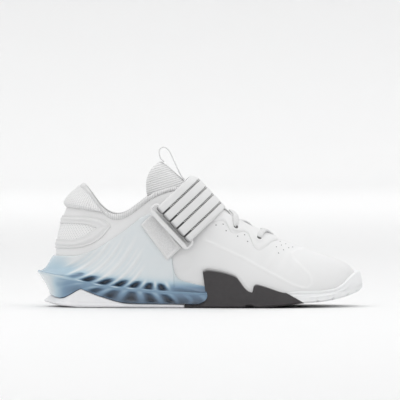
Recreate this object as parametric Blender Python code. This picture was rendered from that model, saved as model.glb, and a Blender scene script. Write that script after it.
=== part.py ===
"""Weightlifting shoe for the right foot, as an assembly of separate solids.

Frame: metres, +X to the toe, +Y to the inner (medial) side, +Z up.
The origin lies on the floor under the middle of the sole.

The upper is one surface, worked out by section() from a table of stations. A place on it is
(u, v): u runs round the foot from the heel (0) along the outer side to the toe (TOE) and back
along the inner side to the heel (LOOP), and v runs from the feather edge (0) to the collar,
throat or vamp ridge (1). Every piece that lies on the upper is cut from that same surface.
"""

import functools
import math

import bmesh
import bpy
import numpy as np
from mathutils import Vector
from mathutils.bvhtree import BVHTree

# Driving sizes of the last and the upper
LAST_LENGTH = 0.280
HEEL_X = -0.134
BALL_HALF = 0.0445
COLLAR_HEIGHT = 0.113
HEEL_BED = 0.031
UPPER_WALL = 0.0025

# Sole
PLATE = 0.0032
TOE_SPRING = 0.0155
PEAK_HEIGHT = 0.0172
RIM_WIDTH = 0.0040
HEEL_RIM_OUT = 0.0060
HEEL_LIP = 0.0046
WING_HEIGHT = 0.0365
WING_WALL = 0.0022
DARK_RIM_OUT = 0.0042
TOE_HEIGHT = 0.0335
TOE_WALL = 0.0024
TOE_RIM_OUT = 0.0050
HEEL_JOINT = 0.425
SCARF_LOW = 0.822
SCARF_HIGH = 0.762
GROOVE_WIDTH = 0.0030
GROOVE_DEPTH = 0.0016
FLEX_WIDTH = 0.0110
FLEX_DEPTH = 0.0022

# Clear heel clip
CLIP_HEIGHT = 0.086
CLIP_WALL = 0.0013
CREST_HEIGHT = 0.032
SPIKE = 0.0176
POCKET_DEPTH = 0.0042
POCKET_PITCH = 0.0143
CLIP_FRONT = 0.498

# Pieces on the upper
INSOLE_THICK = 0.0040
TAB_PUFF = 0.0040
COUNTER_THICK = 0.0016
EYESTAY_THICK = 0.0008
BINDING_WIDTH = 0.0042
BINDING_HEIGHT = 0.0028
TONGUE_THICK = 0.0045
LOOP_WIDTH = 0.0100
LOOP_THICK = 0.0010
LACE_WIDTH = 0.0050
LACE_THICK = 0.0022

# Strap, its ring and the tab that holds the ring
STRAP_WIDTH = 0.0440
STRAP_THICK = 0.0018
STRAP_ANGLE = math.radians(47)
STRAP_X = 0.4575
STRAP_Z = 0.834
STRAP_END = -0.040
RING_LENGTH = 0.0500
RING_SPAN = 0.0096
RING_RISE = -0.0232
RING_BAR = 0.0024
RING_STANDOFF = 0.0036
STRAP_REAR_DROP = 0.0034
TAB_WIDTH = 0.0410
TAB_LENGTH = 0.0180
TAB_RISE = -0.0322
TAB_SKEW = 0.12
TAB_THICK = 0.0018

# Clearances
GAP = 0.0003
TONGUE_CLEAR = 0.0014

LEVELS = 8
TOE = 17
LOOP = 2 * TOE
RIDGE = 12

# One row for each station from the heel to the toe.
# Shares of LAST_LENGTH: foot_x, top_x. Shares of BALL_HALF: lateral, medial, top_y, belly_out,
# crown_out. Shares of COLLAR_HEIGHT: top_z, belly_up, crown_drop. Degrees from the heel: facing.
STATION_COLUMNS = (
    "foot_x", "lateral", "medial", "top_x", "top_y", "top_z",
    "facing", "belly_out", "belly_up", "crown_out", "crown_drop",
)
STATIONS = (
    (0.000, 0.000, 0.000, 0.089, 0.000, 1.000, 0, 0.067, 0.257, 0.450, 0.164),
    (0.018, 0.315, 0.315, 0.099, 0.225, 0.976, 38, 0.067, 0.248, 0.380, 0.168),
    (0.064, 0.573, 0.562, 0.121, 0.416, 0.911, 68, 0.078, 0.221, 0.270, 0.177),
    (0.132, 0.700, 0.663, 0.154, 0.562, 0.806, 84, 0.090, 0.195, 0.135, 0.186),
    (0.211, 0.742, 0.674, 0.200, 0.674, 0.745, 90, 0.090, 0.168, 0.045, 0.177),
    (0.289, 0.764, 0.650, 0.254, 0.700, 0.795, 92, 0.090, 0.186, 0.056, 0.177),
    (0.364, 0.800, 0.640, 0.314, 0.620, 0.905, 93, 0.078, 0.230, 0.150, 0.124),
    (0.436, 0.854, 0.655, 0.386, 0.450, 0.968, 93, 0.067, 0.283, 0.300, 0.070),
    (0.507, 0.920, 0.715, 0.457, 0.340, 0.940, 93, 0.056, 0.274, 0.390, 0.035),
    (0.579, 0.985, 0.810, 0.543, 0.292, 0.806, 92, 0.045, 0.248, 0.405, 0.027),
    (0.650, 1.010, 0.905, 0.614, 0.258, 0.702, 90, 0.045, 0.221, 0.415, 0.022),
    (0.721, 1.000, 0.966, 0.682, 0.180, 0.620, 90, 0.056, 0.195, 0.450, 0.011),
    (0.793, 0.944, 0.978, 0.750, 0.000, 0.553, 90, 0.067, 0.168, 0.560, 0.000),
    (0.857, 0.843, 0.921, 0.807, 0.000, 0.500, 95, 0.067, 0.150, 0.550, 0.006),
    (0.918, 0.674, 0.810, 0.850, 0.000, 0.462, 106, 0.067, 0.140, 0.500, 0.014),
    (0.964, 0.438, 0.640, 0.879, 0.000, 0.436, 125, 0.067, 0.135, 0.460, 0.024),
    (0.991, 0.157, 0.430, 0.896, 0.000, 0.419, 152, 0.067, 0.135, 0.440, 0.034),
    (1.000, -0.157, 0.157, 0.904, 0.000, 0.411, 180, 0.067, 0.138, 0.430, 0.038),
)

# Lines seen from the side: (share of LAST_LENGTH from the heel, share of the named height)
BED_LINE = (
    (0.000, 1.000), (0.121, 0.952), (0.264, 0.790), (0.407, 0.580), (0.550, 0.403),
    (0.693, 0.329), (0.800, 0.329), (0.907, 0.413), (1.000, 0.550),
)
DECK_LINE = ((0.000, 0.806), (0.121, 0.758), (0.264, 0.597), (0.407, 0.355), (0.500, 0.165))
GROUND_LINE = (
    (-0.043, 0.260), (-0.013, 0.180), (0.014, 0.090), (0.050, 0.035), (0.096, 0.000),
    (0.657, 0.000), (0.711, 0.060), (0.746, 0.110), (0.821, 0.260), (0.879, 0.330),
    (0.943, 0.540), (0.993, 0.810), (1.020, 1.000),
)
PEAK_LINE = (
    (-0.023, 0.785), (-0.010, 0.570), (0.004, 0.460), (0.021, 0.460), (0.034, 0.570),
    (0.054, 0.837), (0.073, 0.971), (0.083, 1.000), (0.096, 0.919), (0.130, 0.698),
    (0.163, 0.512), (0.196, 0.330), (0.220, 0.270), (0.264, 0.220), (0.425, 0.200),
)
WING_LINE = (
    (0.498, 0.950), (0.512, 0.995), (0.545, 0.956), (0.578, 0.877), (0.598, 0.803),
    (0.611, 0.674), (0.628, 0.496), (0.641, 0.420), (0.651, 0.400), (0.656, 0.560),
    (0.664, 0.600), (0.685, 0.564), (0.711, 0.496), (0.744, 0.408), (0.761, 0.384),
    (0.860, 0.370),
)
TOE_LINE = (
    (0.740, 0.410), (0.761, 0.415), (0.810, 0.457), (0.877, 0.472), (0.917, 0.513),
    (0.950, 0.654), (0.975, 0.850), (0.990, 0.930), (1.030, 0.930),
)
CLIP_LINE = (
    (-0.010, 0.558), (0.032, 0.552), (0.064, 0.553), (0.096, 0.580), (0.130, 0.622),
    (0.180, 0.719), (0.229, 0.826), (0.262, 0.914), (0.289, 0.977), (0.311, 1.000),
    (0.329, 0.988), (0.352, 0.900), (0.374, 0.730), (0.386, 0.540), (0.395, 0.380),
    (0.415, 0.305), (0.450, 0.270), (0.500, 0.235),
)
CREST_LINE = (
    (0.000, 1.000), (0.018, 0.950), (0.064, 0.830), (0.146, 0.653), (0.207, 0.581),
    (0.264, 0.537), (0.346, 0.469), (0.446, 0.422), (0.500, 0.406),
)
CREST_OUT_LINE = (
    (0.000, 1.000), (0.018, 0.800), (0.064, 0.600), (0.132, 0.500), (0.211, 0.450),
    (0.289, 0.420), (0.364, 0.390), (0.436, 0.330), (0.500, 0.250),
)
# Lines that are shares of COLLAR_HEIGHT
TAB_LOW_LINE = ((-0.010, 0.823), (0.040, 0.815), (0.090, 0.800), (0.130, 0.786), (0.160, 0.775))
EYESTAY_LOW_LINE = (
    (0.490, 0.720), (0.525, 0.703), (0.551, 0.711), (0.563, 0.693), (0.572, 0.651),
    (0.583, 0.612), (0.597, 0.606), (0.623, 0.619), (0.638, 0.598), (0.648, 0.541),
    (0.659, 0.489), (0.674, 0.467), (0.690, 0.486), (0.722, 0.538), (0.743, 0.550),
)
# Station number against a share of COLLAR_HEIGHT
COUNTER_TOP = ((0.0, 0.748), (1.9, 0.748), (2.7, 0.735), (3.2, 0.718), (3.5, 0.685))
COUNTER_LOW = ((0.0, 0.478), (1.9, 0.484), (2.7, 0.520), (3.2, 0.580), (3.5, 0.645))
WINDOW_TOP = ((0.0, 0.680), (1.7, 0.688), (2.3, 0.680), (2.6, 0.670), (2.85, 0.650))
WINDOW_LOW = ((0.0, 0.560), (1.7, 0.555), (2.3, 0.575), (2.6, 0.605), (2.85, 0.638))

# The tongue's free part, crossing by crossing: shares of LAST_LENGTH, BALL_HALF, COLLAR_HEIGHT
TONGUE_MIDDLE = (
    (0.391, 0.000, 1.112), (0.385, 0.165, 1.102), (0.371, 0.280, 1.070), (0.355, 0.350, 1.020),
    (0.343, 0.400, 0.962), (0.334, 0.435, 0.910), (0.327, 0.450, 0.850),
)
TONGUE_TOP = (
    (0.349, 0.000, 1.203), (0.343, 0.169, 1.193), (0.330, 0.303, 1.165), (0.315, 0.400, 1.119),
    (0.304, 0.450, 1.053), (0.301, 0.465, 0.991), (0.304, 0.468, 0.920),
)
# The pull loop: how far up the tongue's front and how far out from it, in shares of LOOP_REACH
LOOP_REACH = 0.0278
LOOP_SHAPE = (
    (-1.02, -0.002), (-0.90, 0.016), (-0.70, 0.085), (-0.31, 0.255), (0.02, 0.390),
    (0.21, 0.365), (0.275, 0.240), (0.215, 0.115), (0.045, 0.006),
)


def smooth(table, x):
    """A rising-x table read with a curve that never overshoots its points."""
    xs = np.array([row[0] for row in table], float)
    ys = np.array([row[1] for row in table], float)
    if x <= xs[0]:
        return float(ys[0])
    if x >= xs[-1]:
        return float(ys[-1])
    step = np.diff(xs)
    rise = np.diff(ys) / step
    slope = np.zeros(len(xs))
    slope[0], slope[-1] = rise[0], rise[-1]
    for i in range(1, len(xs) - 1):
        if rise[i - 1] * rise[i] > 0:
            slope[i] = 2 * rise[i - 1] * rise[i] / (rise[i - 1] + rise[i])
    i = int(np.searchsorted(xs, x) - 1)
    t = (x - xs[i]) / step[i]
    return float(
        ys[i] * (1 + 2 * t) * (1 - t) ** 2
        + slope[i] * step[i] * t * (1 - t) ** 2
        + ys[i + 1] * t * t * (3 - 2 * t)
        + slope[i + 1] * step[i] * t * t * (t - 1)
    )


def share_of(x):
    """How far along the last x lies, as a share of its length."""
    return (x - HEEL_X) / LAST_LENGTH


def height_line(table, size):
    """A side line as a function from x to z, both in metres."""
    return lambda x: size * smooth(table, share_of(x))


bed = height_line(BED_LINE, HEEL_BED)
deck = height_line(DECK_LINE, HEEL_BED)
ground = height_line(GROUND_LINE, TOE_SPRING)
peak = height_line(PEAK_LINE, PEAK_HEIGHT)
wing_top = height_line(WING_LINE, WING_HEIGHT)
toe_top = height_line(TOE_LINE, TOE_HEIGHT)
clip_top = height_line(CLIP_LINE, CLIP_HEIGHT)
crest = height_line(CREST_LINE, CREST_HEIGHT)
crest_out = height_line(CREST_OUT_LINE, SPIKE)
tab_low = height_line(TAB_LOW_LINE, COLLAR_HEIGHT)
eyestay_low = height_line(EYESTAY_LOW_LINE, COLLAR_HEIGHT)


def closed_columns():
    """The table's columns in metres round the whole loop, with each column's spline bends."""
    rows = [dict(zip(STATION_COLUMNS, row)) for row in STATIONS]
    around = [(row, -1) for row in rows] + [(row, 1) for row in rows[-2:0:-1]]
    columns = []
    for row, side in around:
        angle = math.radians(row["facing"])
        width = row["lateral"] if side < 0 else row["medial"]
        columns.append((
            HEEL_X + row["foot_x"] * LAST_LENGTH,
            side * width * BALL_HALF,
            HEEL_X + row["top_x"] * LAST_LENGTH,
            side * row["top_y"] * BALL_HALF,
            row["top_z"] * COLLAR_HEIGHT,
            -math.cos(angle),
            side * math.sin(angle),
            row["belly_out"] * BALL_HALF,
            row["belly_up"] * COLLAR_HEIGHT,
            row["crown_out"] * BALL_HALF,
            row["crown_drop"] * COLLAR_HEIGHT,
        ))
    values = np.array(columns)
    count = len(values)
    matrix = np.zeros((count, count))
    for i in range(count):
        matrix[i, i] = 2 / 3
        matrix[i, (i + 1) % count] = 1 / 6
        matrix[i, (i - 1) % count] = 1 / 6
    bends = np.linalg.solve(matrix, np.roll(values, -1, 0) - 2 * values + np.roll(values, 1, 0))
    return values, bends


COLUMNS, BENDS = closed_columns()


@functools.lru_cache(maxsize=None)
def station(u):
    """Every column at u, on a spline that is smooth all the way round."""
    u %= LOOP
    i = int(u)
    j = (i + 1) % LOOP
    t = u - i
    s = 1 - t
    row = s * COLUMNS[i] + t * COLUMNS[j] + ((s**3 - s) * BENDS[i] + (t**3 - t) * BENDS[j]) / 6
    row[5:7] /= math.hypot(row[5], row[6])
    k = min(u, LOOP - u)
    side = -1 if u <= TOE else 1
    row[3] = 0.0 if k >= RIDGE else side * max(0.0, side * row[3])
    return row


def foot(u):
    """The feather edge, where the upper meets the midsole."""
    row = station(u)
    return np.array((row[0], row[1], bed(row[0])))


@functools.lru_cache(maxsize=None)
def section(u, v):
    """A point of the upper's outer surface."""
    row = station(u)
    out = np.array((row[5], row[6], 0.0))
    up = np.array((0.0, 0.0, 1.0))
    low = foot(u)
    top = np.array((row[2], row[3], row[4]))
    belly = low + row[7] * out + row[8] * up
    crown = top + row[9] * out - row[10] * up
    s = 1 - v
    return s**3 * low + 3 * s * s * v * belly + 3 * s * v * v * crown + v**3 * top


def side_normal(u, v):
    inner = min(max(v, 0.012), 0.975)
    along = section(u + 0.02, inner) - section(u - 0.02, inner)
    up = section(u, inner + 0.01) - section(u, inner - 0.01)
    n = np.cross(along, up)
    return n / np.linalg.norm(n)


@functools.lru_cache(maxsize=None)
def normal(u, v):
    """The outward normal there. On the vamp's ridge it is the mean of both sides."""
    n = side_normal(u, v)
    if min(u % LOOP, LOOP - u % LOOP) >= RIDGE and v > 0.97:
        n = n + side_normal(LOOP - u % LOOP, v)
        n[1] = 0.0
        n /= np.linalg.norm(n)
    return n


def shell(u, v, offset):
    """A point that far outside the upper's outer surface."""
    return section(u, v) + offset * normal(u, v)


def plan(u, out, z):
    """A point beside the feather edge, that far outside it, at height z."""
    row = station(u)
    return np.array((row[0] + out * row[5], row[1] + out * row[6], z))


@functools.lru_cache(maxsize=None)
def rise_to(u, line):
    """v where the section at u crosses a side line, from below."""
    low, high = 0.0, 1.0
    if section(u, 1.0)[2] < line(section(u, 1.0)[0]):
        return 1.0
    for _ in range(24):
        middle = (low + high) / 2
        point = section(u, middle)
        if point[2] < line(point[0]):
            low = middle
        else:
            high = middle
    return high


def levels_between(low, high):
    """The upper's own levels between two, so that a piece follows the same facets."""
    return [min(max(i / LEVELS, low), high) for i in range(LEVELS + 1)]


def station_at(share, low=0.0, high=float(TOE)):
    """The station number whose feather edge is at that share of the last's length."""
    x = HEEL_X + share * LAST_LENGTH
    for _ in range(30):
        middle = (low + high) / 2
        if station(middle)[0] < x:
            low = middle
        else:
            high = middle
    return high


def spaced(start, end, count):
    return [float(x) for x in np.linspace(start, end, count + 1)]


def material(name, colour, roughness, metallic=0.0, clear=0.0):
    made = bpy.data.materials.new(name)
    made.use_nodes = True
    shader = made.node_tree.nodes["Principled BSDF"]
    shader.inputs["Base Color"].default_value = (*colour, 1)
    shader.inputs["Roughness"].default_value = roughness
    shader.inputs["Metallic"].default_value = metallic
    shader.inputs["Transmission Weight"].default_value = clear
    return made


def finish(name, bm, colour, weld=True):
    """Turns a bmesh into a named, smooth-shaded object with outward faces."""
    if weld:
        bmesh.ops.remove_doubles(bm, verts=bm.verts, dist=1e-7)
        bmesh.ops.dissolve_degenerate(bm, edges=bm.edges, dist=1e-8)
    bmesh.ops.recalc_face_normals(bm, faces=bm.faces)
    if bm.calc_volume(signed=True) < 0:
        bmesh.ops.reverse_faces(bm, faces=bm.faces)
    mesh = bpy.data.meshes.new(name)
    bm.to_mesh(mesh)
    bm.free()
    mesh.shade_smooth()
    mesh.set_sharp_from_angle(angle=math.radians(40))
    mesh.materials.append(colour)
    obj = bpy.data.objects.new(name, mesh)
    bpy.context.scene.collection.objects.link(obj)
    return obj


def skin(bm, rows, wrap_rows=False):
    """Quads between rows of points, each row a closed polygon. Returns the rows' vertices."""
    made = [[bm.verts.new(Vector(p)) for p in row] for row in rows]
    pairs = list(zip(made, made[1:]))
    if wrap_rows:
        pairs.append((made[-1], made[0]))
    for a, b in pairs:
        for i in range(len(a)):
            j = (i + 1) % len(a)
            bm.faces.new((a[i], a[j], b[j], b[i]))
    return made


def loft(name, rows, colour, ends=(True, True)):
    """A solid through closed polygons. An end that is pinched to a line needs no cap."""
    bm = bmesh.new()
    made = skin(bm, rows)
    if ends[0]:
        bm.faces.new(made[0][::-1])
    if ends[1]:
        bm.faces.new(made[-1])
    return finish(name, bm, colour)


def sheet(name, outer, inner, colour):
    """A solid between two grids of points that face each other."""
    rows = [list(o) + list(i)[::-1] for o, i in zip(outer, inner)]
    return loft(name, rows, colour)


def cut_by_plane(obj, point, direction):
    """Cuts away what lies ahead of a plane, and closes the cut."""
    bm = bmesh.new()
    bm.from_mesh(obj.data)
    bmesh.ops.bisect_plane(
        bm, geom=[*bm.verts, *bm.edges, *bm.faces], dist=1e-7,
        plane_co=Vector(point), plane_no=Vector(direction), clear_outer=True,
    )
    edges = [e for e in bm.edges if e.is_boundary]
    bmesh.ops.holes_fill(bm, edges=edges)
    bmesh.ops.triangulate(bm, faces=[f for f in bm.faces if len(f.verts) > 4])
    bmesh.ops.recalc_face_normals(bm, faces=bm.faces)
    bm.to_mesh(obj.data)
    bm.free()


def both_sides(lateral_profile):
    """A polygon across the shoe: the outer side's profile, then the inner side's, turned back."""
    return lambda k: lateral_profile(k) + lateral_profile(LOOP - k)[::-1]


# Upper

def make_upper(colour):
    """The upper's wall, open at the collar, the throat and underneath."""
    levels = levels_between(0.0, 1.0)
    stations = spaced(0, TOE, 34)
    around = stations + [LOOP - k for k in stations[-2:0:-1]]
    bm = bmesh.new()
    rows = []
    for u in around:
        outer = [shell(u, v, 0.0) for v in levels]
        inner = [shell(u, v, -UPPER_WALL) for v in levels[::-1]]
        inner[-1][2] = outer[0][2]
        rows.append([bm.verts.new(Vector(p)) for p in outer + inner])
    rim = len(levels) - 1
    for i, a in enumerate(rows):
        b = rows[(i + 1) % len(rows)]
        k = min(around[i], LOOP - around[i])
        k_next = min(around[(i + 1) % len(rows)], LOOP - around[(i + 1) % len(rows)])
        for j in range(len(a)):
            if j == rim and min(k, k_next) >= RIDGE:
                continue
            bm.faces.new((a[j], a[(j + 1) % len(a)], b[(j + 1) % len(a)], b[j]))
    return finish("upper", bm, colour)


def make_heel_tab(colour):
    """The knitted pad at the back of the collar, thickest at its middle and tapered to its ends."""
    end = 3.5
    high = 0.995
    outer, inner = [], []
    for u in spaced(-end, end, 28):
        low = rise_to(u % LOOP, tab_low)
        taper = 1 - (u / end) ** 2
        levels = levels_between(low, high)
        puffs = [math.sin(math.pi * (0.12 + 0.80 * (v - low) / (high - low))) for v in levels]
        outer.append([
            shell(u % LOOP, v, 2 * GAP + 0.0005 + TAB_PUFF * (0.12 + 0.88 * taper) * puff)
            for v, puff in zip(levels, puffs)
        ])
        inner.append([shell(u % LOOP, v, GAP) for v in levels])
    return sheet("heel_tab", outer, inner, colour)


def counter_half(outer_table, window_table, side):
    """Places (u, height) of the ring's outer line and of its window, from the heel to a tip."""
    pairs = []
    for t in spaced(0, 1, 9):
        pair = []
        for table in (outer_table, window_table):
            k = t * table[-1][0]
            u = k if side < 0 else (LOOP - k) % LOOP
            pair.append((u, COLLAR_HEIGHT * smooth(table, k)))
        pairs.append(pair)
    return pairs


def make_heel_counter(colour):
    """The raised ring round the mesh window, wrapped round the heel."""
    tops = [counter_half(COUNTER_TOP, WINDOW_TOP, side) for side in (-1, 1)]
    lows = [counter_half(COUNTER_LOW, WINDOW_LOW, side) for side in (-1, 1)]
    pairs = tops[0][::-1] + tops[1][1:] + lows[1][::-1] + lows[0][1:]
    rows = []
    for (outer_u, outer_z), (window_u, window_z) in pairs:
        turn_u = (window_u - outer_u + TOE) % LOOP - TOE

        def place(t, offset):
            u = (outer_u + turn_u * t) % LOOP
            height = outer_z + (window_z - outer_z) * t
            return shell(u, rise_to(u, level_line(height)), offset)

        rise = ((0.0, 0.35), (0.25, 1.0), (0.6, 0.8), (1.0, 0.3))
        rows.append(
            [place(t, 2 * GAP + COUNTER_THICK * h) for t, h in rise]
            + [place(t, 1.5 * GAP) for t in (1.0, 0.5, 0.0)]
        )
    bm = bmesh.new()
    skin(bm, rows, wrap_rows=True)
    return finish("heel_counter", bm, colour)


@functools.lru_cache(maxsize=None)
def level_line(height):
    return lambda x: height


def make_binding(colour):
    """The knitted edge that runs round the collar on top of the wall."""
    end = 6.9
    rows = []
    for u in spaced(-end, end, 40):
        u %= LOOP
        out = normal(u, 1.0)
        up = section(u, 1.0) - section(u, 0.97)
        up /= np.linalg.norm(up)
        centre = section(u, 1.0) - out * UPPER_WALL / 2 + up * (2 * GAP + BINDING_HEIGHT / 2)
        row = []
        for i in range(6):
            angle = 2 * math.pi * (i + 0.5) / 6
            row.append(
                centre
                + out * math.cos(angle) * BINDING_WIDTH / 2
                + up * math.sin(angle) * BINDING_HEIGHT / 2
            )
        rows.append(row)
    return loft("collar_binding", rows, colour)


def make_eyestay(name, side, colour):
    """The thin facing along one throat edge, with its wavy lower edge."""
    outer, inner = [], []
    for k in spaced(8.0, 11.75, 25):
        u = k if side < 0 else LOOP - k
        levels = levels_between(rise_to(u, eyestay_low), 0.992)
        outer.append([shell(u, v, GAP + EYESTAY_THICK) for v in levels])
        inner.append([shell(u, v, GAP) for v in levels])
    return sheet(name, outer, inner, colour)


# Sole

def make_midsole(colour):
    """The foam bed under the upper: a wedge in the clip, then down to the outsole."""
    clip_end = station_at(CLIP_FRONT)

    def profile(u):
        k = min(u, LOOP - u)
        top = foot(u)
        under = deck(top[0]) if k <= clip_end + 0.04 else ground(top[0]) + PLATE
        return [
            plan(u, -0.0002, under + GAP),
            plan(u, 0.0, top[2] - GAP),
        ]

    across = both_sides(profile)
    stations = sorted({*spaced(0, TOE, 34), clip_end + 0.04, clip_end + 0.06})
    return loft("midsole", [across(k) for k in stations], colour, ends=(False, False))


def make_insole(colour):
    """The sockliner, inside the wall and on the midsole."""
    inset = UPPER_WALL + 2 * GAP

    def profile(u):
        low = plan(u, -inset, 0.0)
        z = bed(low[0])
        return [
            np.array((low[0], low[1], z + GAP)),
            np.array((low[0], low[1], z + INSOLE_THICK)),
        ]

    across = both_sides(profile)
    return loft(
        "insole", [across(k) for k in spaced(0, TOE, 26)], colour, ends=(False, False)
    )


def make_heel_outsole(colour):
    """The white tray: a plate with a rim that rises to a point at each side of the heel."""
    joint = station_at(HEEL_JOINT)

    def profile(u):
        lip = HEEL_LIP * smooth(((0.0, 1.0), (0.08, 0.0)), share_of(foot(u)[0]))
        outer = plan(u, HEEL_RIM_OUT + lip, 0.0)
        floor = ground(outer[0])
        top = max(peak(plan(u, HEEL_RIM_OUT, 0.0)[0]), floor + PLATE)
        inner_z = ground(plan(u, HEEL_RIM_OUT - RIM_WIDTH, 0)[0]) + PLATE
        return [
            plan(u, HEEL_RIM_OUT - 0.0016 + lip * 0.6, floor),
            plan(u, HEEL_RIM_OUT + 0.0010 + lip, floor + 0.0018),
            plan(u, HEEL_RIM_OUT - 0.0006, top),
            plan(u, HEEL_RIM_OUT - RIM_WIDTH, top),
            plan(u, HEEL_RIM_OUT - RIM_WIDTH - 0.0001, min(inner_z, top)),
        ]

    across = both_sides(profile)
    stations = sorted({*spaced(0, 4, 24), *spaced(4, joint, 6)})
    return loft("outsole_heel", [across(k) for k in stations], colour, ends=(False, True))


def pocket_share(x, first, last):
    """How deep a pocket is at x: 1 in the middle of a pocket and 0 on a rib."""
    if not first < x < last:
        return 0.0
    return (0.5 - 0.5 * math.cos(2 * math.pi * (x - first) / POCKET_PITCH)) ** 0.8


def clip_flare(share, t):
    """How much of the crest's overhang is left, a share t of the way up the wing."""
    tail = smooth(((0.0, 1.0), (0.09, 0.0)), share)
    steep = (1 - t) ** 3.2
    return steep + tail * (0.45 * (1 - t) ** 7 + 0.52 * (1 - t) ** 0.8 - steep)


def make_heel_clip(colour):
    """The clear moulded heel: deck, flared side with ribs and pockets, tail and side wings."""
    front = station_at(CLIP_FRONT)
    first = HEEL_X + 0.090 * LAST_LENGTH
    last = first + 6 * POCKET_PITCH

    def profile(u):
        low = foot(u)
        x = low[0]
        top_v = rise_to(u, clip_top)
        out = crest_out(x)
        height = crest(x)
        rim = plan(u, HEEL_RIM_OUT, 0.0)
        seat = max(peak(rim[0]), ground(rim[0]) + PLATE) + 2 * GAP
        inner_z = ground(plan(u, HEEL_RIM_OUT - RIM_WIDTH, 0)[0]) + PLATE + 2 * GAP
        below = POCKET_DEPTH * pocket_share(x, first, last) * 0.75
        points = [
            plan(u, HEEL_RIM_OUT - RIM_WIDTH - 2 * GAP - 0.0001, min(inner_z, seat)),
            plan(u, HEEL_RIM_OUT - RIM_WIDTH - 2 * GAP, seat),
            plan(u, HEEL_RIM_OUT - 0.0008, seat),
        ]
        for t in (0.25, 0.65):
            reach = HEEL_RIM_OUT + (out - HEEL_RIM_OUT) * (0.05 + 0.75 * t)
            points.append(plan(u, reach - below, seat + t * (height - seat)))
        points.append(plan(u, out, height - 0.0006))
        points.append(plan(u, out, height + 0.0006))
        top = section(u, top_v)[2]
        start = min(height + 0.0015, low[2] + 0.0001 + 0.2 * (top - low[2]))
        start_v = rise_to(u, level_line(start))
        for t in (0.10, 0.24, 0.42, 0.62, 0.82):
            v = start_v + (top_v - start_v) * t
            place = section(u, v)
            lean = 0.55 * (place[2] - height) * smooth(((0.09, 1.0), (0.37, 0.0)), share_of(x))
            pocket = POCKET_DEPTH * pocket_share(place[0] + lean, first, last)
            fade = math.exp(-(((t - 0.12) / 0.20) ** 2))
            thick = CLIP_WALL + (out - CLIP_WALL) * clip_flare(share_of(x), t) - pocket * fade
            points.append(shell(u, v, GAP + max(thick, CLIP_WALL * 0.8)))
        points.append(shell(u, top_v, 1.5 * GAP + CLIP_WALL * 0.75))
        points += [shell(u, v, 1.5 * GAP) for v in levels_between(0.0, top_v)[::-1]]
        points.append(plan(u, 1.5 * GAP, low[2] - 0.0001))
        points.append(plan(u, 1.5 * GAP - 0.00005, deck(x)))
        return points

    across = both_sides(profile)
    stations = sorted({*spaced(0, 2, 6), *spaced(2, front - 0.5, 34), *spaced(front - 0.5, front, 3)})
    return loft("heel_clip", [across(k) for k in stations], colour, ends=(False, True))


def scarf_plane(shift):
    """A point on the slanted joint of the dark and the toe rubber, and its direction forward."""
    low = Vector((HEEL_X + SCARF_LOW * LAST_LENGTH + shift, 0, 0.0042))
    high = Vector((HEEL_X + SCARF_HIGH * LAST_LENGTH + shift, 0, 0.0140))
    along = high - low
    return low, Vector((along.z, 0, -along.x)).normalized()


def cup_profile(u, top_line, rim_out, wall, swell):
    """A side of a cup sole: from the tread up its outer face, over its top and down inside."""
    outer = plan(u, rim_out, 0.0)
    floor = ground(outer[0])
    top_v = rise_to(u, top_line)
    low = foot(u)
    points = [plan(u, rim_out - 0.0022, floor), plan(u, rim_out + 0.0004, floor + 0.0020)]
    points.append(plan(u, rim_out + swell, floor + 0.0055))
    for t in (0.2, 0.45, 0.75, 1.0):
        points.append(shell(u, top_v * t, GAP + wall + (rim_out - wall) * 0.55 * (1 - t) ** 1.5))
    points += [shell(u, v, GAP) for v in levels_between(0.0, top_v)[::-1]]
    points.append(plan(u, GAP, low[2] - 0.0001))
    points.append(plan(u, GAP - 0.00005, ground(low[0]) + PLATE))
    return points


def make_mid_outsole(colour):
    """The dark rubber: plate under waist and ball, and two wings up each side."""
    start = station_at(HEEL_JOINT) + 0.03
    wing_start = station_at(CLIP_FRONT) + 0.06
    end = station_at(SCARF_LOW) + 0.6

    def profile(u):
        k = min(u, LOOP - u)
        if k >= wing_start:
            return cup_profile(u, wing_top, DARK_RIM_OUT, WING_WALL, 0.0)
        floor = ground(foot(u)[0])
        inner = [
            plan(u, HEEL_RIM_OUT - 0.0010 - 0.0002 * i, floor + PLATE) for i in range(LEVELS + 8)
        ]
        return [plan(u, HEEL_RIM_OUT - 0.0024, floor), plan(u, HEEL_RIM_OUT, floor + 0.0018), *inner]

    across = both_sides(profile)
    stations = sorted({
        *spaced(start, wing_start - 0.02, 2), *spaced(wing_start, wing_start + 2.4, 20),
        *spaced(wing_start + 2.4, end, 9),
    })
    obj = loft("outsole_mid", [across(k) for k in stations], colour)
    point, direction = scarf_plane(0.0)
    cut_by_plane(obj, point, direction)
    return obj


def make_toe_outsole(colour):
    """The white toe rubber: plate, stepped side band and bumper over the toe."""
    start = station_at(SCARF_HIGH) - 0.6

    def profile(u):
        share = smooth(((0.8, 0.0), (1.0, 1.0)), share_of(foot(u)[0]))
        rim = DARK_RIM_OUT + (TOE_RIM_OUT - DARK_RIM_OUT) * share
        return cup_profile(u, toe_top, rim, TOE_WALL * (1 + 0.8 * share**3), 0.0008 * share)

    across = both_sides(profile)
    obj = loft(
        "outsole_toe", [across(k) for k in spaced(start, TOE, 24)], colour, ends=(True, False)
    )
    point, direction = scarf_plane(GAP * 2)
    cut_by_plane(obj, point, -direction)
    return obj


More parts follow.
